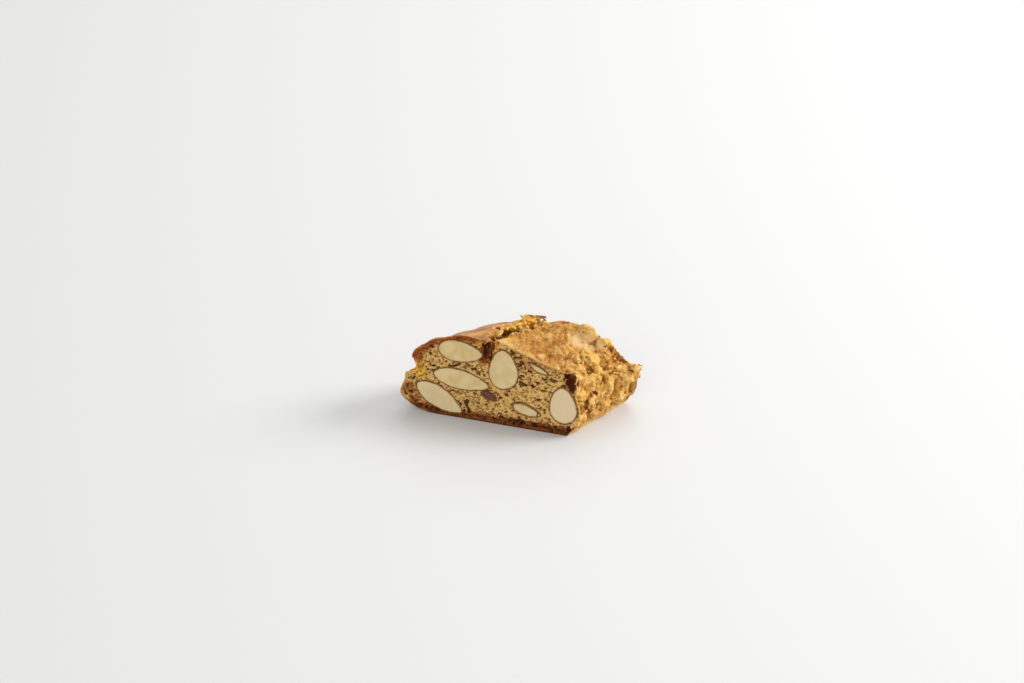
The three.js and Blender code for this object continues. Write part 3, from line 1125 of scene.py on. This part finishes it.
@dataclass
class BakedDough:
    """The dough of the slice, as one skin over all its lumps, cracks and pores.

    Lengths are in millimetres. The fields without a value hold what the steps find out about
    the skin: its points, and for each point whether it is crust or almond pocket, how far it is
    from the crust and from a pocket, and how deep it has sunk.
    """

    voxel: float = 0.22
    spots: int = 44
    spots_a_scale: int = 3
    lump_stray: float = 0.24
    swell_stray: float = 0.2
    flakes_a_lip: int = 15
    fine_pores: int = 3900
    wide_pores: int = 70
    grains_a_hole: int = 3
    small_pits: int = 200
    pocket_margin: float = 0.75
    stands_proud: float = 0.06
    steps_a_crease: int = 6
    pits_a_spot: int = 4
    most_triangles: int = 198_500
    seed: int = 11
    rng: np.random.Generator = field(init=False)
    skin: Object = field(init=False)
    points: np.ndarray = field(init=False)
    normals: np.ndarray = field(init=False)
    tree: kdtree.KDTree = field(init=False)
    crust: np.ndarray = field(init=False)
    pocket: np.ndarray = field(init=False)
    from_crust: np.ndarray = field(init=False)
    from_pocket: np.ndarray = field(init=False)
    pit: np.ndarray = field(init=False)

    def build(self) -> Object:
        """Makes the dough and dresses it.

        Returns:
            The finished piece, which stands for the solid of the dough.
        """
        self.rng = np.random.default_rng(self.seed)
        self.skin = dough = self.fuse()
        self.classify()
        self.soften()
        self.ruffle()
        self.carve()
        self.thin()
        self.settle()
        self.paint()
        dress(dough, DoughFinish().material())
        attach(dough, "root")
        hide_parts("biscuit")
        return dough

    # ---- shape

    def fuse(self) -> Object:
        """Joins the dough's solid with its lumps and flakes, and wraps all in one skin.

        Returns:
            The skin.
        """
        dough = duplicate(frame["nodes"]["biscuit"])
        dough.parent = None
        dough.name = dough.data.name = "dough"
        with editing(dough):
            bpy.ops.mesh.remove_doubles(threshold=CLOSE)
        spots = self.crust_spots(dough)
        parts = [dough] + [self.blob(lump, self.lump_stray, i) for i, lump in enumerate(LUMPS)]
        for i, (place, normal) in enumerate(spots):
            make = self.scale if i % self.spots_a_scale == 0 else self.swell
            parts.append(make(place, normal, SPOT_SEED + i))
        flakes = self.crack_flakes()
        parts += [self.flake(flake, FLAKE_SEED + i) for i, flake in enumerate(flakes)]
        dough = join(parts, "dough")
        apply_modifier(dough, "REMESH", mode="VOXEL", voxel_size=self.voxel * MM)
        return dough

    def crust_spots(self, dough: Object) -> list[tuple[Vector, Vector]]:
        """Picks places on the rugged crust, away from the cut faces.

        Args:
            dough: The dough's solid.

        Returns:
            Each place and the crust's normal there.
        """
        faces = dough.data.polygons
        middles = np.array([f.center for f in faces])
        x, _, z = (middles / MM).T
        spur_top = (x > 31) & (z > 16)
        rugged = (0.03 + ramp(x, 4, 24)) * ~spur_top
        share = np.array([f.area for f in faces]) * (depth_of(middles) > 1.6) * (z > 3) * rugged
        chosen = self.rng.choice(len(faces), self.spots, p=share / share.sum())
        return [(faces[i].center.copy(), faces[i].normal.copy()) for i in chosen]

    def crack_flakes(self) -> list[Blob]:
        """Places torn flakes along both lips of the crack, besides the tall ones.

        Returns:
            The flakes, whose radii are half their sizes.
        """
        flakes = list(TALL_FLAKES)
        for lip in CRACK_LIPS:
            for _ in range(self.flakes_a_lip):
                share = 0.14 + 0.86 * self.rng.random()
                at = [a + (b - a) * share + self.rng.normal(0, 0.6) for a, b in zip(*lip)]
                at[2] = min(at[2], CREST) - 0.5
                if near(np.array([at]) * MM, CRACK_PITS)[0] > 0.25:
                    continue
                radii = self.rng.uniform((0.8, 0.6, 0.34), (1.9, 1.2, 0.5))
                turn = (*self.rng.normal(0, 24, 2), self.rng.uniform(0, 180))
                flakes.append(Blob(tuple(at), tuple(radii), turn))
        return flakes

    def blob(self, lump: Blob, stray: float, seed: int) -> Object:
        """Models one uneven lump.

        Args:
            lump: Its place, radii and turn.
            stray: How far its points stray, as a share of its radius.
            seed: Which uneven shape it gets.

        Returns:
            The lump, placed and kept behind both cut faces.
        """
        made = start(bpy.ops.mesh.primitive_ico_sphere_add, subdivisions=3, radius=1)
        with editing(made):
            bpy.ops.transform.vertex_random(offset=stray, uniform=0.3, normal=0.6, seed=seed)
            bpy.ops.mesh.vertices_smooth(factor=0.5, repeat=2)
        self.set_down(made, lump)
        for face in FACES.values():
            with editing(made):
                trim(face.place(0, 0), -face.inward)
        return made

    def flake(self, flake: Blob, seed: int) -> Object:
        """Models one torn, thin, crumpled flake.

        Args:
            flake: Its place, half sizes and turn.
            seed: Which crumpled shape it gets.

        Returns:
            The flake, placed.
        """
        made = start(bpy.ops.mesh.primitive_grid_add, x_subdivisions=6, y_subdivisions=5, size=2)
        with editing(made):
            bpy.ops.transform.vertex_random(offset=0.3, uniform=0.5, normal=0.5, seed=seed)
            bpy.ops.mesh.extrude_region_move(TRANSFORM_OT_translate={"value": (0, 0, 1.6)})
            bpy.ops.mesh.select_all(action="SELECT")
            bpy.ops.mesh.normals_make_consistent(inside=False)
        self.set_down(made, flake)
        return made

    def scale(self, place: Vector, normal: Vector, seed: int) -> Object:
        """Models one flat scale of crust that lifts a little from the surface.

        Args:
            place: Its middle.
            normal: The surface's normal there.
            seed: Which shape it gets.

        Returns:
            The scale, placed.
        """
        tilt = normal.to_track_quat("Z", "Y").to_euler()
        spin = Euler((*self.rng.normal(0, 0.16, 2), self.rng.uniform(0, FULL_TURN)))
        turn = (tilt.to_matrix() @ spin.to_matrix()).to_euler()
        radii = (*self.rng.uniform((1.4, 1.0), (3.0, 1.8)), 0.5)
        at = place / MM - normal * 0.35
        return self.flake(Blob(tuple(at), radii, tuple(math.degrees(a) for a in turn)), seed)

    def swell(self, place: Vector, normal: Vector, seed: int) -> Object:
        """Models one low, rounded swelling of the crust.

        Args:
            place: Its middle.
            normal: The surface's normal there.
            seed: Which uneven shape it gets.

        Returns:
            The swelling, placed.
        """
        turn = normal.to_track_quat("Z", "Y").to_euler()
        radii = self.rng.uniform((2.4, 2.0, 1.6), (4.2, 3.2, 2.2))
        at = place / MM - normal * (radii[2] - self.rng.uniform(0.4, 0.9))
        lump = Blob(tuple(at), tuple(radii), tuple(math.degrees(a) for a in turn))
        return self.blob(lump, self.swell_stray, seed)

    def set_down(self, made: Object, blob: Blob) -> None:
        """Sizes, turns and places a new shape.

        Args:
            made: The shape, modelled round the origin with a radius of 1.
            blob: Where it goes.
        """
        made.scale = [r * MM for r in blob.radii]
        made.rotation_euler = Euler([math.radians(a) for a in blob.turn])
        made.location = Vector(blob.at) * MM

    def classify(self) -> None:
        """Tells crust from cut face and almond pocket, and how far off each edge is."""
        self.points = points = points_of(self.skin)
        normals, depth = normals_of(self.skin), depth_of(points)
        cut = np.zeros(len(points), dtype=bool)
        for face in FACES.values():
            facing = normals @ -np.array(face.inward) > 0.75
            cut |= (face.local(points)[:, 2] < 0.3) & facing
        kernels = [almond.holds(points, self.pocket_margin) for almond in almond_cuts()]
        pocket = np.any(kernels, axis=0)
        self.crust = ~cut & ~pocket
        self.pocket = pocket & ~cut
        self.from_crust = self.away_from(self.crust & (depth < 3))
        self.from_pocket = self.away_from(self.pocket & (depth < 1))

    def away_from(self, edge: np.ndarray) -> np.ndarray:
        """Measures how far the points of the cut faces are from others.

        Args:
            edge: Which points they are measured to.

        Returns:
            The distance in millimetres for each point, and 0 away from the cut faces.
        """
        asked = ~self.crust & (depth_of(self.points) < 1)
        away = np.zeros(len(self.points))
        away[asked] = nearest(self.points[edge], self.points[asked])[1] / MM
        return away

    def soften(self) -> None:
        """Smooths the crust, and leaves the cut faces, their edges and the torn places crisp."""
        x, _, z = (self.points / MM).T
        keep = self.crust * ramp(depth_of(self.points), 0.2, 1.0) * ramp(z, 0.1, 0.8)
        keep *= 1 - near(self.points, TORN_SPOTS)
        for weights, rounds in ((keep, 12), (keep * (1 - 0.9 * ramp(x, 4, 22)), 16)):
            group(self.skin, "soft", weights)
            apply_modifier(self.skin, "SMOOTH", factor=0.5, iterations=rounds, vertex_group="soft")
            self.skin.vertex_groups.clear()

    def ruffle(self) -> None:
        """Roughens the crust: gently on the smooth left dome, in deep crags at the torn end."""
        points = points_of(self.skin)
        x, y, z = (points / MM).T
        calm = 1 - 0.5 * near(points, GLOSS_SPOTS)
        rugged = ramp(x, -3, 22) * calm * (1 - 0.35 * ramp(z, 24, 29))
        torn = near(points, TORN_SPOTS) * (1 - 0.8 * ramp(y, 5, 9))
        ends = near(points, SPLIT_SPOTS + HEEL_LIP + HEEL_FACE + HOLE_SPOTS)
        crust = self.crust * ramp(z, 0.4, 3.0) * (0.35 + 0.65 * ramp(depth_of(points), 0.1, 1.4))
        rags = np.maximum.reduce([torn, 0.4 * ends, 0.8 * near(points, HOLE_SPOTS)])
        group(self.skin, "lumps", crust * rugged)
        group(self.skin, "crags", crust * np.maximum(0.12 + 0.7 * rugged, 0.9 * ends))
        group(self.skin, "torn", crust * rags)
        group(self.skin, "crust", crust)
        group(self.skin, "cut", ~self.crust & ~self.pocket)
        for layer in RUFFLES:
            displace(self.skin, layer)
        self.points = points_of(self.skin)
        self.skin.vertex_groups.clear()

    # ---- pores

    def carve(self) -> None:
        """Sinks the pores into both cut faces, and the creases and pits into the crust."""
        self.normals = even_normals(self.skin, 4)
        self.tree = tree_of(self.points)
        above = ramp(self.points[:, 2] / MM, 0.2, 1.4)
        torn_open = ramp(near(self.points, HOLE_SPOTS), 0.4, 0.65)
        sound = np.maximum(ramp(self.from_crust, 0.1, 0.9), torn_open)
        move = np.zeros(self.points.shape)
        for side, face in FACES.items():
            inward = np.array(face.inward)
            facing = self.normals @ -inward > 0.6
            depth = self.sunk(self.face_pores(side)) * (facing * above * sound)
            move += depth[:, None] * inward
        behind = ramp(depth_of(self.points), 0.3, 1.2)
        depth = self.sunk(self.crust_pits()) * (self.crust * above * behind)
        move -= depth[:, None] * self.normals
        self.pit = np.linalg.norm(move, axis=1)
        self.points = self.points + move * MM
        set_points(self.skin, self.points)

    def sunk(self, pores: list[Pore]) -> np.ndarray:
        """Sinks the skin to the far walls of some pores.

        Args:
            pores: The pores.

        Returns:
            How deep each point sinks, in millimetres.
        """
        depth = np.zeros(len(self.points))
        for pore in pores:
            found = self.tree.find_range(Vector(pore.place), max(pore.radii[:2]) * 1.3 * MM)
            if not found:
                continue
            index = np.array([f[1] for f in found])
            away = (np.array([f[0] for f in found]) - pore.place) / MM @ pore.axes.T
            away = away / np.array(pore.radii)
            angle = np.arctan2(away[:, 1], away[:, 0])
            ripple = 0.16 * np.sin(2 * angle + pore.phase)
            edge = 1 + ripple + 0.12 * np.sin(5 * angle + 2.3 * pore.phase)
            reach = np.hypot(away[:, 0], away[:, 1]) / edge
            wall = np.sqrt((1 - reach * reach).clip(0)) * pore.radii[2]
            depth[index] = np.maximum(depth[index], wall)
        return depth

    def face_pores(self, side: Side) -> list[Pore]:
        """Scatters pores over a cut face, clear of the almonds, and adds the larger holes.

        Args:
            side: Which face.

        Returns:
            The pores.
        """
        face = FACES[side]
        flat = face.local(self.points[~self.crust & ~self.pocket])
        flat = flat[np.abs(flat[:, 2]) < 0.7]
        fine = 0.13 + 0.32 * self.rng.random(self.fine_pores) ** 2.2
        sizes = np.concatenate([fine, self.rng.uniform(0.42, 0.75, self.wide_pores)])
        places = flat[self.rng.integers(0, len(flat), len(sizes))]
        pores = []
        for (across, up, _), size in zip(places, sizes):
            radii = size * self.rng.uniform((0.9, 0.7, 1.2), (1.9, 1.1, 2.0))
            pores.append(self.face_pore(face, (across, up), radii))
        for across, up, radii in FRONT_HOLES if side is Side.FRONT else ():
            for _ in range(self.grains_a_hole):
                shift = self.rng.normal(0, 0.5, 2) * radii[:2]
                size = np.array(radii) * self.rng.uniform(0.6, 0.95, 3)
                pores.append(self.face_pore(face, (across + shift[0], up + shift[1]), size))
        return pores

    def face_pore(self, face: CutFace, at: tuple[float, float], radii: np.ndarray) -> Pore:
        """Makes a pore in a cut face, turned a little within it at random.

        Args:
            face: The face.
            at: Where on the face, in millimetres.
            radii: Across, up and deep.

        Returns:
            The pore.
        """
        turn = self.rng.normal(0, 0.4)
        cos, sin = math.cos(turn), math.sin(turn)
        axes = np.array([[cos, sin, 0], [-sin, cos, 0], [0, 0, 1]]) @ face.axes
        return Pore(np.array(face.place(*at)), radii, axes, self.rng.uniform(0, FULL_TURN))

    def crust_pits(self) -> list[Pore]:
        """Lists the crust's pits: creases, holes at the torn places, and a scatter of small ones.

        Returns:
            The pits.
        """
        pits = []
        for crease in CREASES:
            for first, last in zip(np.array(crease), np.array(crease[1:])):
                for share in np.linspace(0, 1, self.steps_a_crease + 1)[:-1]:
                    at = first + (last - first) * share + self.rng.normal(0, 0.2, 3)
                    pits.append(self.pit_at(at * MM, self.rng.uniform(0.4, 0.7)))
        for place, reach in CRACK_PITS:
            for _ in range(self.pits_a_spot):
                at = np.array(place) + self.rng.normal(0, 0.5, 3) * reach
                pits.append(self.pit_at(at * MM, self.rng.uniform(0.4, 0.7) * reach))
        x, _, z = (self.points / MM).T
        share = 0.012 + 0.2 * ramp(x, 14, 26) * ramp(z, 1, 4) + 0.8 * near(self.points, TORN_SPOTS)
        share += 0.5 * near(self.points, SPLIT_SPOTS) + 0.5 * ramp(-x, 31, 35) * ramp(-z, -12, -9)
        share *= self.crust
        for i in self.rng.choice(len(self.points), self.small_pits, p=share / share.sum()):
            pits.append(self.pit_at(self.points[i], 0.22 + 0.5 * self.rng.random() ** 3))
        return pits

    def pit_at(self, place: np.ndarray, size: float) -> Pore:
        """Makes a pit that sinks straight into the crust.

        Args:
            place: Where, in metres.
            size: About its radius, in millimetres.

        Returns:
            The pit.
        """
        normal = Vector(self.normals[self.tree.find(place)[1]])
        tilt = normal.to_track_quat("Z", "Y").to_matrix()
        spin = Euler((0, 0, self.rng.uniform(0, FULL_TURN))).to_matrix()
        axes = np.array((tilt @ spin).transposed())
        radii = size * self.rng.uniform(0.7, 1.3, 3)
        return Pore(place, radii, axes, self.rng.uniform(0, FULL_TURN))

    def thin(self) -> None:
        """Brings the mesh under its most triangles, and drops any bubble closed off inside it."""
        apply_modifier(self.skin, "TRIANGULATE")
        count = len(self.skin.data.polygons)
        if count > self.most_triangles:
            apply_modifier(self.skin, "DECIMATE", ratio=self.most_triangles / count)
        outermost = int(points_of(self.skin)[:, 0].argmax())
        with editing(self.skin):
            select_one(self.skin, "VERT", outermost)
            bpy.ops.mesh.select_linked()
            bpy.ops.mesh.select_all(action="INVERT")
            bpy.ops.mesh.delete(type="VERT")

    def settle(self) -> None:
        """Keeps the dough above what it rests on, behind its cuts and inside the solids' box."""
        points = points_of(self.skin)
        for face in FACES.values():
            out = (-self.stands_proud - face.local(points)[:, 2]).clip(0)
            points += out[:, None] * np.array(face.inward) * MM
        set_points(self.skin, boxed(points))

    # ---- colour

    def paint(self) -> None:
        """Keeps what the material needs to know about each vertex."""
        points, edges = points_of(self.skin), edges_of(self.skin)
        x, y, z = (points / MM).T
        source, _ = nearest(self.points, points)
        pit, rim = self.pit[source], self.from_crust[source]
        normals, smooth = normals_of(self.skin), even_normals(self.skin, 8)
        facing = [
            smooth @ -np.array(face.inward) * (face.local(points)[:, 2] < 3)
            for face in FACES.values()
        ]
        split, sheen = near(points, SPLIT_SPOTS), near(points, GLOSS_SPOTS)
        raw = np.maximum(ramp(split, 0.3, 0.7), near(points, RAW_SPOTS))
        cut = spread(np.where(self.crust[source], 0.0, 1.0), edges, 1)
        cut = cut * ramp(np.max(facing, axis=0), 0.5, 0.8) * (1 - 0.85 * raw)
        depth = depth_of(points).clip(0)

        # How far the surface lies under its neighbours' mean, near by, wider and widest, for
        # painted shade and highlights.
        bend = ((spread(points, edges, 3) - points) * normals).sum(1) / MM
        wide = ((spread(points, edges, 16) - points) * normals).sum(1) / MM
        broad = ((spread(points, edges, 80) - points) * smooth).sum(1) / MM

        # The browned band of the cut faces, wide along the dome, the base and the right ridge.
        dome = ramp(-x, 4, 12) * ramp(z, 17, 20)
        bottom = ramp(-z, -5.0, -1.6)
        ridge = ramp(x, 0, 8) * ramp(z, 13, 18)
        width = 0.7 + 2.6 * dome + 1.9 * bottom + 1.9 * ridge
        strength = (0.5 + 0.5 * dome + 0.5 * bottom) * (1 - 0.8 * split)
        band = [
            (1 - ramp(rim / width, 0.35, 1.0)) * strength.clip(0, 1),
            0.8 * bottom,
            0.45 * near(points, SMOKY_FACE),
            0.66 * near(points, HEEL_FACE),
        ]

        # The painted shade inside the deep holes and in the crack.
        inside = np.maximum(ramp(depth, 0.2, 0.9), (1 - cut) * ramp(depth, -0.1, 0.3))
        crack = near(points, CRACK_PITS) * (0.34 + 0.42 * ramp(pit, 0.0, 0.5))

        # The yellow torn dough, and the toasted heel, foot, dome edge, left shoulder and brow.
        lip = near(points, HEEL_LIP) * ramp(z, 10, 12.5)
        torn = near(points, TORN_SPOTS) * (1 - 0.6 * ramp(y, 7, 11))
        left = ramp(-x, 2, 10)
        brow = ramp(x, -6, 0) * ramp(-x, -27, -20) * ramp(z, 21, 25) * (1 - sheen)
        toast = [
            ramp(-x, 27, 33) * ramp(-z, -12.5, -9),
            ramp(-z, -2.0, -0.4) * (1 - 0.5 * ramp(x, 20, 30)),
            0.75 * left * ramp(-depth, -3.4, -0.2) * ramp(z, 20, 24),
            0.9 * ramp(0.42 * (y + 12) - x, 31, 36) * ramp(z, 19.5, 22),
            0.45 * brow,
        ]
        kept = {
            "cut": cut,
            "band": np.maximum.reduce(band),
            "base": bottom + ramp(-z, -1.1, -0.3),
            "shade": np.maximum(near(points, HOLE_SPOTS) * inside, crack),
            # Painted shade in the gap round each almond pocket.
            "pocket_shade": 1 - ramp(self.from_pocket[source], 0.1, 0.5),
            # How deep each point sank, which sets the painted shade of pores and pits.
            "deep": pit,
            # Where shade is painted in hollows, and where highlights are painted on bulges.
            "hollow": (bend * 1.1 + wide * 0.9 + broad * 0.5).clip(0, 1),
            "bulge": (-bend * 1.5 - wide * 1.2 - broad * 0.6).clip(0, 1),
            "gloss": left * ramp(z, 22, 27),
            # The glossy patch, which also gets a painted highlight.
            "sheen": sheen,
            "torn": np.maximum.reduce([torn, 0.9 * split, 0.9 * lip, raw]),
            "toast": np.maximum.reduce(toast),
        }
        store(self.skin, kept)


# ---- the almonds


@dataclass
class AlmondKernel:
    """One almond, cut flush with its face of the slice. Lengths are in millimetres."""

    cut: AlmondCut
    finish: KernelFinish
    seed: int
    margin: float = 0.08
    proud: float = 0.05
    chamfer: float = 0.06
    thick_skin: float = 0.0
    blush: float = 0.3
    broken_at: float | None = None
    gap: float = 0.5

    RINGS = (0.985, 0.975, 0.965, 0.955, 0.94, 0.9, 0.82, 0.7, 0.5, 0.25)
    WOBBLE = Ruffle(Grain.SWELLS, 4.5, 0.5)

    @property
    def face(self) -> CutFace:
        """Gives the face that cuts the almond."""
        return FACES[self.cut.side]

    def build(self) -> Object:
        """Makes the almond and dresses it.

        Returns:
            The finished piece, which stands for the almond's solid.
        """
        kernel = self.shape()
        if self.broken_at is not None:
            kernel = self.snap(kernel)
        self.paint(kernel)
        dress(kernel, self.finish.material())
        bpy.ops.object.shade_smooth_by_angle(angle=math.radians(50))
        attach(kernel, "root")
        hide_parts(self.cut.node)
        return kernel

    def shape(self) -> Object:
        """Models the kernel from a ball, cuts it along the face and rings the cut.

        Returns:
            The kernel.
        """
        kernel = start(
            bpy.ops.mesh.primitive_uv_sphere_add, segments=96, ring_count=72, radius=1
        )
        kernel.name = kernel.data.name = self.cut.node.replace("almond", "kernel")
        z, y, x = points_of(kernel).T
        belly = np.sqrt((1 - x * x).clip(1e-9, 1))
        slim = self.cut.slimness(x) / belly
        half = np.array([self.cut.length / 2, self.cut.width / 2, self.cut.depth]) + self.margin
        self.put(kernel, np.stack([x, y * slim, z * slim], 1) * half)
        displace(kernel, self.WOBBLE)
        with editing(kernel):
            bpy.ops.mesh.normals_make_consistent(inside=False)
            trim(self.face.place(0, 0, -self.proud), -self.face.inward)
        self.ring_cut(kernel)
        return kernel

    def put(self, kernel: Object, local: np.ndarray) -> None:
        """Moves the kernel's vertices.

        Args:
            kernel: The kernel.
            local: Their new places along, aside and deep, in millimetres.
        """
        turn = math.radians(self.cut.tilt)
        along, aside, deep = local.T
        across = along * math.cos(turn) - aside * math.sin(turn) + self.cut.at[0]
        up = along * math.sin(turn) + aside * math.cos(turn) + self.cut.at[1]
        placed = np.stack([across, up, deep + self.cut.SINK], 1) @ self.face.axes * MM
        set_points(kernel, placed + np.array(self.face.origin))

    def ring_cut(self, kernel: Object) -> None:
        """Gives the cut a slightly rounded edge and rings towards its middle.

        Args:
            kernel: The kernel, whose cut is its largest face.
        """
        widest = max(kernel.data.polygons, key=lambda f: f.area)
        middle, number = Vector(widest.center), widest.index
        with editing(kernel):
            select_one(kernel, "FACE", number)
            last = 1.0
            for i, share in enumerate(self.RINGS):
                bpy.ops.mesh.extrude_region()
                bpy.ops.transform.resize(value=(share / last,) * 3, center_override=middle)
                if i == 0:
                    bpy.ops.transform.translate(value=-self.face.inward * self.chamfer * MM)
                    middle -= self.face.inward * self.chamfer * MM
                last = share
            bpy.ops.mesh.poke()

    def snap(self, kernel: Object) -> Object:
        """Breaks the kernel's end off square, and leaves the bit beside it.

        Args:
            kernel: The whole kernel.

        Returns:
            Both parts as one object.
        """
        bit = duplicate(kernel)
        turn = math.radians(self.cut.tilt)
        along = self.face.across * math.cos(turn) + self.face.up * math.sin(turn)
        place = self.face.place(*self.cut.at) + along * self.broken_at * MM
        outward = along + self.face.up * 0.12
        with editing(kernel):
            trim(place, outward)
        with editing(bit):
            trim(place + along * self.gap * MM, outward, keep_inner=False)
        return join([kernel, bit], kernel.name)

    def paint(self, kernel: Object) -> None:
        """Keeps how far each vertex is from the kernel's skin, and its place along the kernel.

        Args:
            kernel: The kernel.
        """
        points = points_of(kernel)
        along, aside, _ = self.cut.local(points).T
        _, up, level = self.face.local(points).T
        flat = level < -self.proud - 0.03
        _, far = nearest(points[~flat], points)
        edge = np.where(flat, far / MM, 0.0)
        edge = (edge - self.thick_skin * ramp(up - self.cut.at[1], -0.6, 0.8)).clip(0)
        kept = {
            "edge": edge * (not self.cut.skinned),
            "blush": np.full(len(points), self.blush),
            "along": along + 7.3 * self.seed,
            "aside": aside + 3.1 * self.seed,
        }
        store(kernel, kept)


# How some almonds differ from the rest.
KERNEL_LOOKS: dict[str, dict[str, float]] = {
    "almond_front_1": {"blush": 0.0},
    "almond_front_2": {"blush": 0.1},
    "almond_front_3": {"blush": 0.6},
    "almond_front_5": {"blush": 1.0},
    "almond_front_6": {"thick_skin": 0.3, "broken_at": 4.3},
    "almond_front_7": {"thick_skin": 0.25},
}


@dataclass
class LooseCrumbs:
    """Small broken grains that cling to the cut faces and lie in the crack."""

    count: int = 520
    smallest: float = 0.1
    spare_size: float = 0.26
    seed: int = 23

    def build(self, dough: Object) -> Object:
        """Makes the grains on the dough's skin and dresses them.

        Args:
            dough: The finished dough.

        Returns:
            All the grains as one piece.
        """
        rng = np.random.default_rng(self.seed)
        model = start(bpy.ops.mesh.primitive_ico_sphere_add, subdivisions=1, radius=1)
        unit = points_of(model)
        loops = np.array([list(f.vertices) for f in model.data.polygons])
        bpy.data.objects.remove(model)
        skin, normals = points_of(dough), normals_of(dough)
        depth, torn = depth_of(skin), near(skin, TORN_SPOTS)
        share = (0.15 + 0.85 * (depth < 0.5)) * (depth > -0.1) + 3.0 * torn
        share *= skin[:, 2] > 1 * MM
        points, faces, tones = [], [], []
        for i in rng.choice(len(skin), self.count, p=share / share.sum()):
            size = (self.smallest + self.spare_size * rng.random() ** 2) * (1 + 1.2 * torn[i])
            uneven = unit * (1 + 0.28 * rng.standard_normal((len(unit), 1)))
            shape = uneven * rng.uniform(0.7, 1.3, 3) * size
            turn = np.array(Euler(rng.uniform(0, FULL_TURN, 3)).to_matrix())
            faces.append(loops + len(unit) * len(points))
            points.append(shape @ turn * MM + skin[i] + normals[i] * (size * 0.25) * MM)
            tones.append(np.full(len(unit), rng.random()))
        mesh = bpy.data.meshes.new("loose_crumbs")
        placed = boxed(np.concatenate(points).astype(np.float32).astype(float))
        mesh.from_pydata(placed.tolist(), [], np.concatenate(faces).tolist())
        crumbs = bpy.data.objects.new("loose_crumbs", mesh)
        bpy.context.scene.collection.objects.link(crumbs)
        store(crumbs, {"tone": np.concatenate(tones)})
        dress(crumbs, CrumbFinish().material())
        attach(crumbs, "root")
        return crumbs


# ---- floor, light and camera


@dataclass
class Studio:
    """A plain pale floor, plain soft studio light, and the camera."""

    lens: float = 85.0
    sensor: float = 36.0
    pitch: float = 32.0
    yaw: float = 17.1
    camera_at: Triple = (222.22, -732.68, 507.15)
    aim: Triple = (0, 0, 0.015)
    floor_size: float = 6.0
    floor_colour: Triple = (0.72, 0.72, 0.715)
    surround: float = 0.52

    def build(self) -> None:
        """Makes all of it."""
        self.floor()
        self.lights()
        self.camera()
        bpy.context.scene.view_settings.view_transform = "Standard"

    def turned(self, right: float, away: float, up: float) -> Vector:
        """Turns a direction as the camera sees it, level with the floor, into the slice's frame."""
        cos, sin = math.cos(math.radians(self.yaw)), math.sin(math.radians(self.yaw))
        return Vector((right * cos - away * sin, right * sin + away * cos, up))

    def floor(self) -> None:
        """Makes the floor."""
        floor = start(bpy.ops.mesh.primitive_plane_add, size=self.floor_size)
        floor.name = "floor"
        coat = {"Base Color": self.floor_colour, "Roughness": 0.6}
        floor.data.materials.append(NodeSheet("pale_floor").finish(coat))

    def lights(self) -> None:
        """Makes a soft key from behind on the right, a broad overhead and a pale surround."""
        self.area("key", self.turned(1.1, 0.2, 0.62) * 1.25, 0.6, 21)
        self.area("overhead", self.turned(0.3, 1.0, 1.2), 1.4, 9)
        self.area("fill", self.turned(-0.5, -1.4, 0.9), 1.4, 7)
        bpy.context.scene.world = world = bpy.data.worlds.new("surround")
        world.use_nodes = True
        background = world.node_tree.nodes["Background"]
        background.inputs["Color"].default_value = (1, 1, 1, 1)
        background.inputs["Strength"].default_value = self.surround

    def area(self, name: str, place: Vector, size: float, power: float) -> None:
        """Makes a square light that shines at the slice.

        Args:
            name: The light's name.
            place: Where it stands, in metres.
            size: The length of its side, in metres.
            power: Its power in watts.
        """
        bpy.ops.object.light_add(type="AREA", location=place)
        light = bpy.context.object
        light.name = name
        light.data.size = size
        light.data.energy = power
        light.rotation_euler = (Vector(self.aim) - place).to_track_quat("-Z", "Y").to_euler()

    def camera(self) -> None:
        """Makes the camera."""
        turn = (math.radians(90 - self.pitch), 0, math.radians(self.yaw))
        bpy.ops.object.camera_add(location=Vector(self.camera_at) * MM, rotation=turn)
        camera = bpy.context.object
        camera.name = "camera"
        camera.data.lens = self.lens
        camera.data.sensor_width = self.sensor
        bpy.context.scene.camera = camera


def report(piece: Object) -> None:
    """Logs a finished piece."""
    log.info("%s: %d faces", piece.name, len(piece.data.polygons))


def main() -> None:
    """Builds the studio and each piece in order, and reports them."""
    logging.basicConfig(level=logging.INFO, format="%(name)s: %(message)s")
    Studio().build()
    dough = BakedDough().build()
    report(dough)
    report(LooseCrumbs().build(dough))
    cream = KernelFinish("almond")
    brown = KernelFinish("almond_skin", skin=linear(118, 72, 44), skin_dark=linear(84, 46, 28))
    for seed, cut in enumerate(almond_cuts()):
        finish, looks = brown if cut.skinned else cream, KERNEL_LOOKS.get(cut.node, {})
        report(AlmondKernel(cut, finish, seed, **looks).build())


if __name__ == "__main__":
    main()
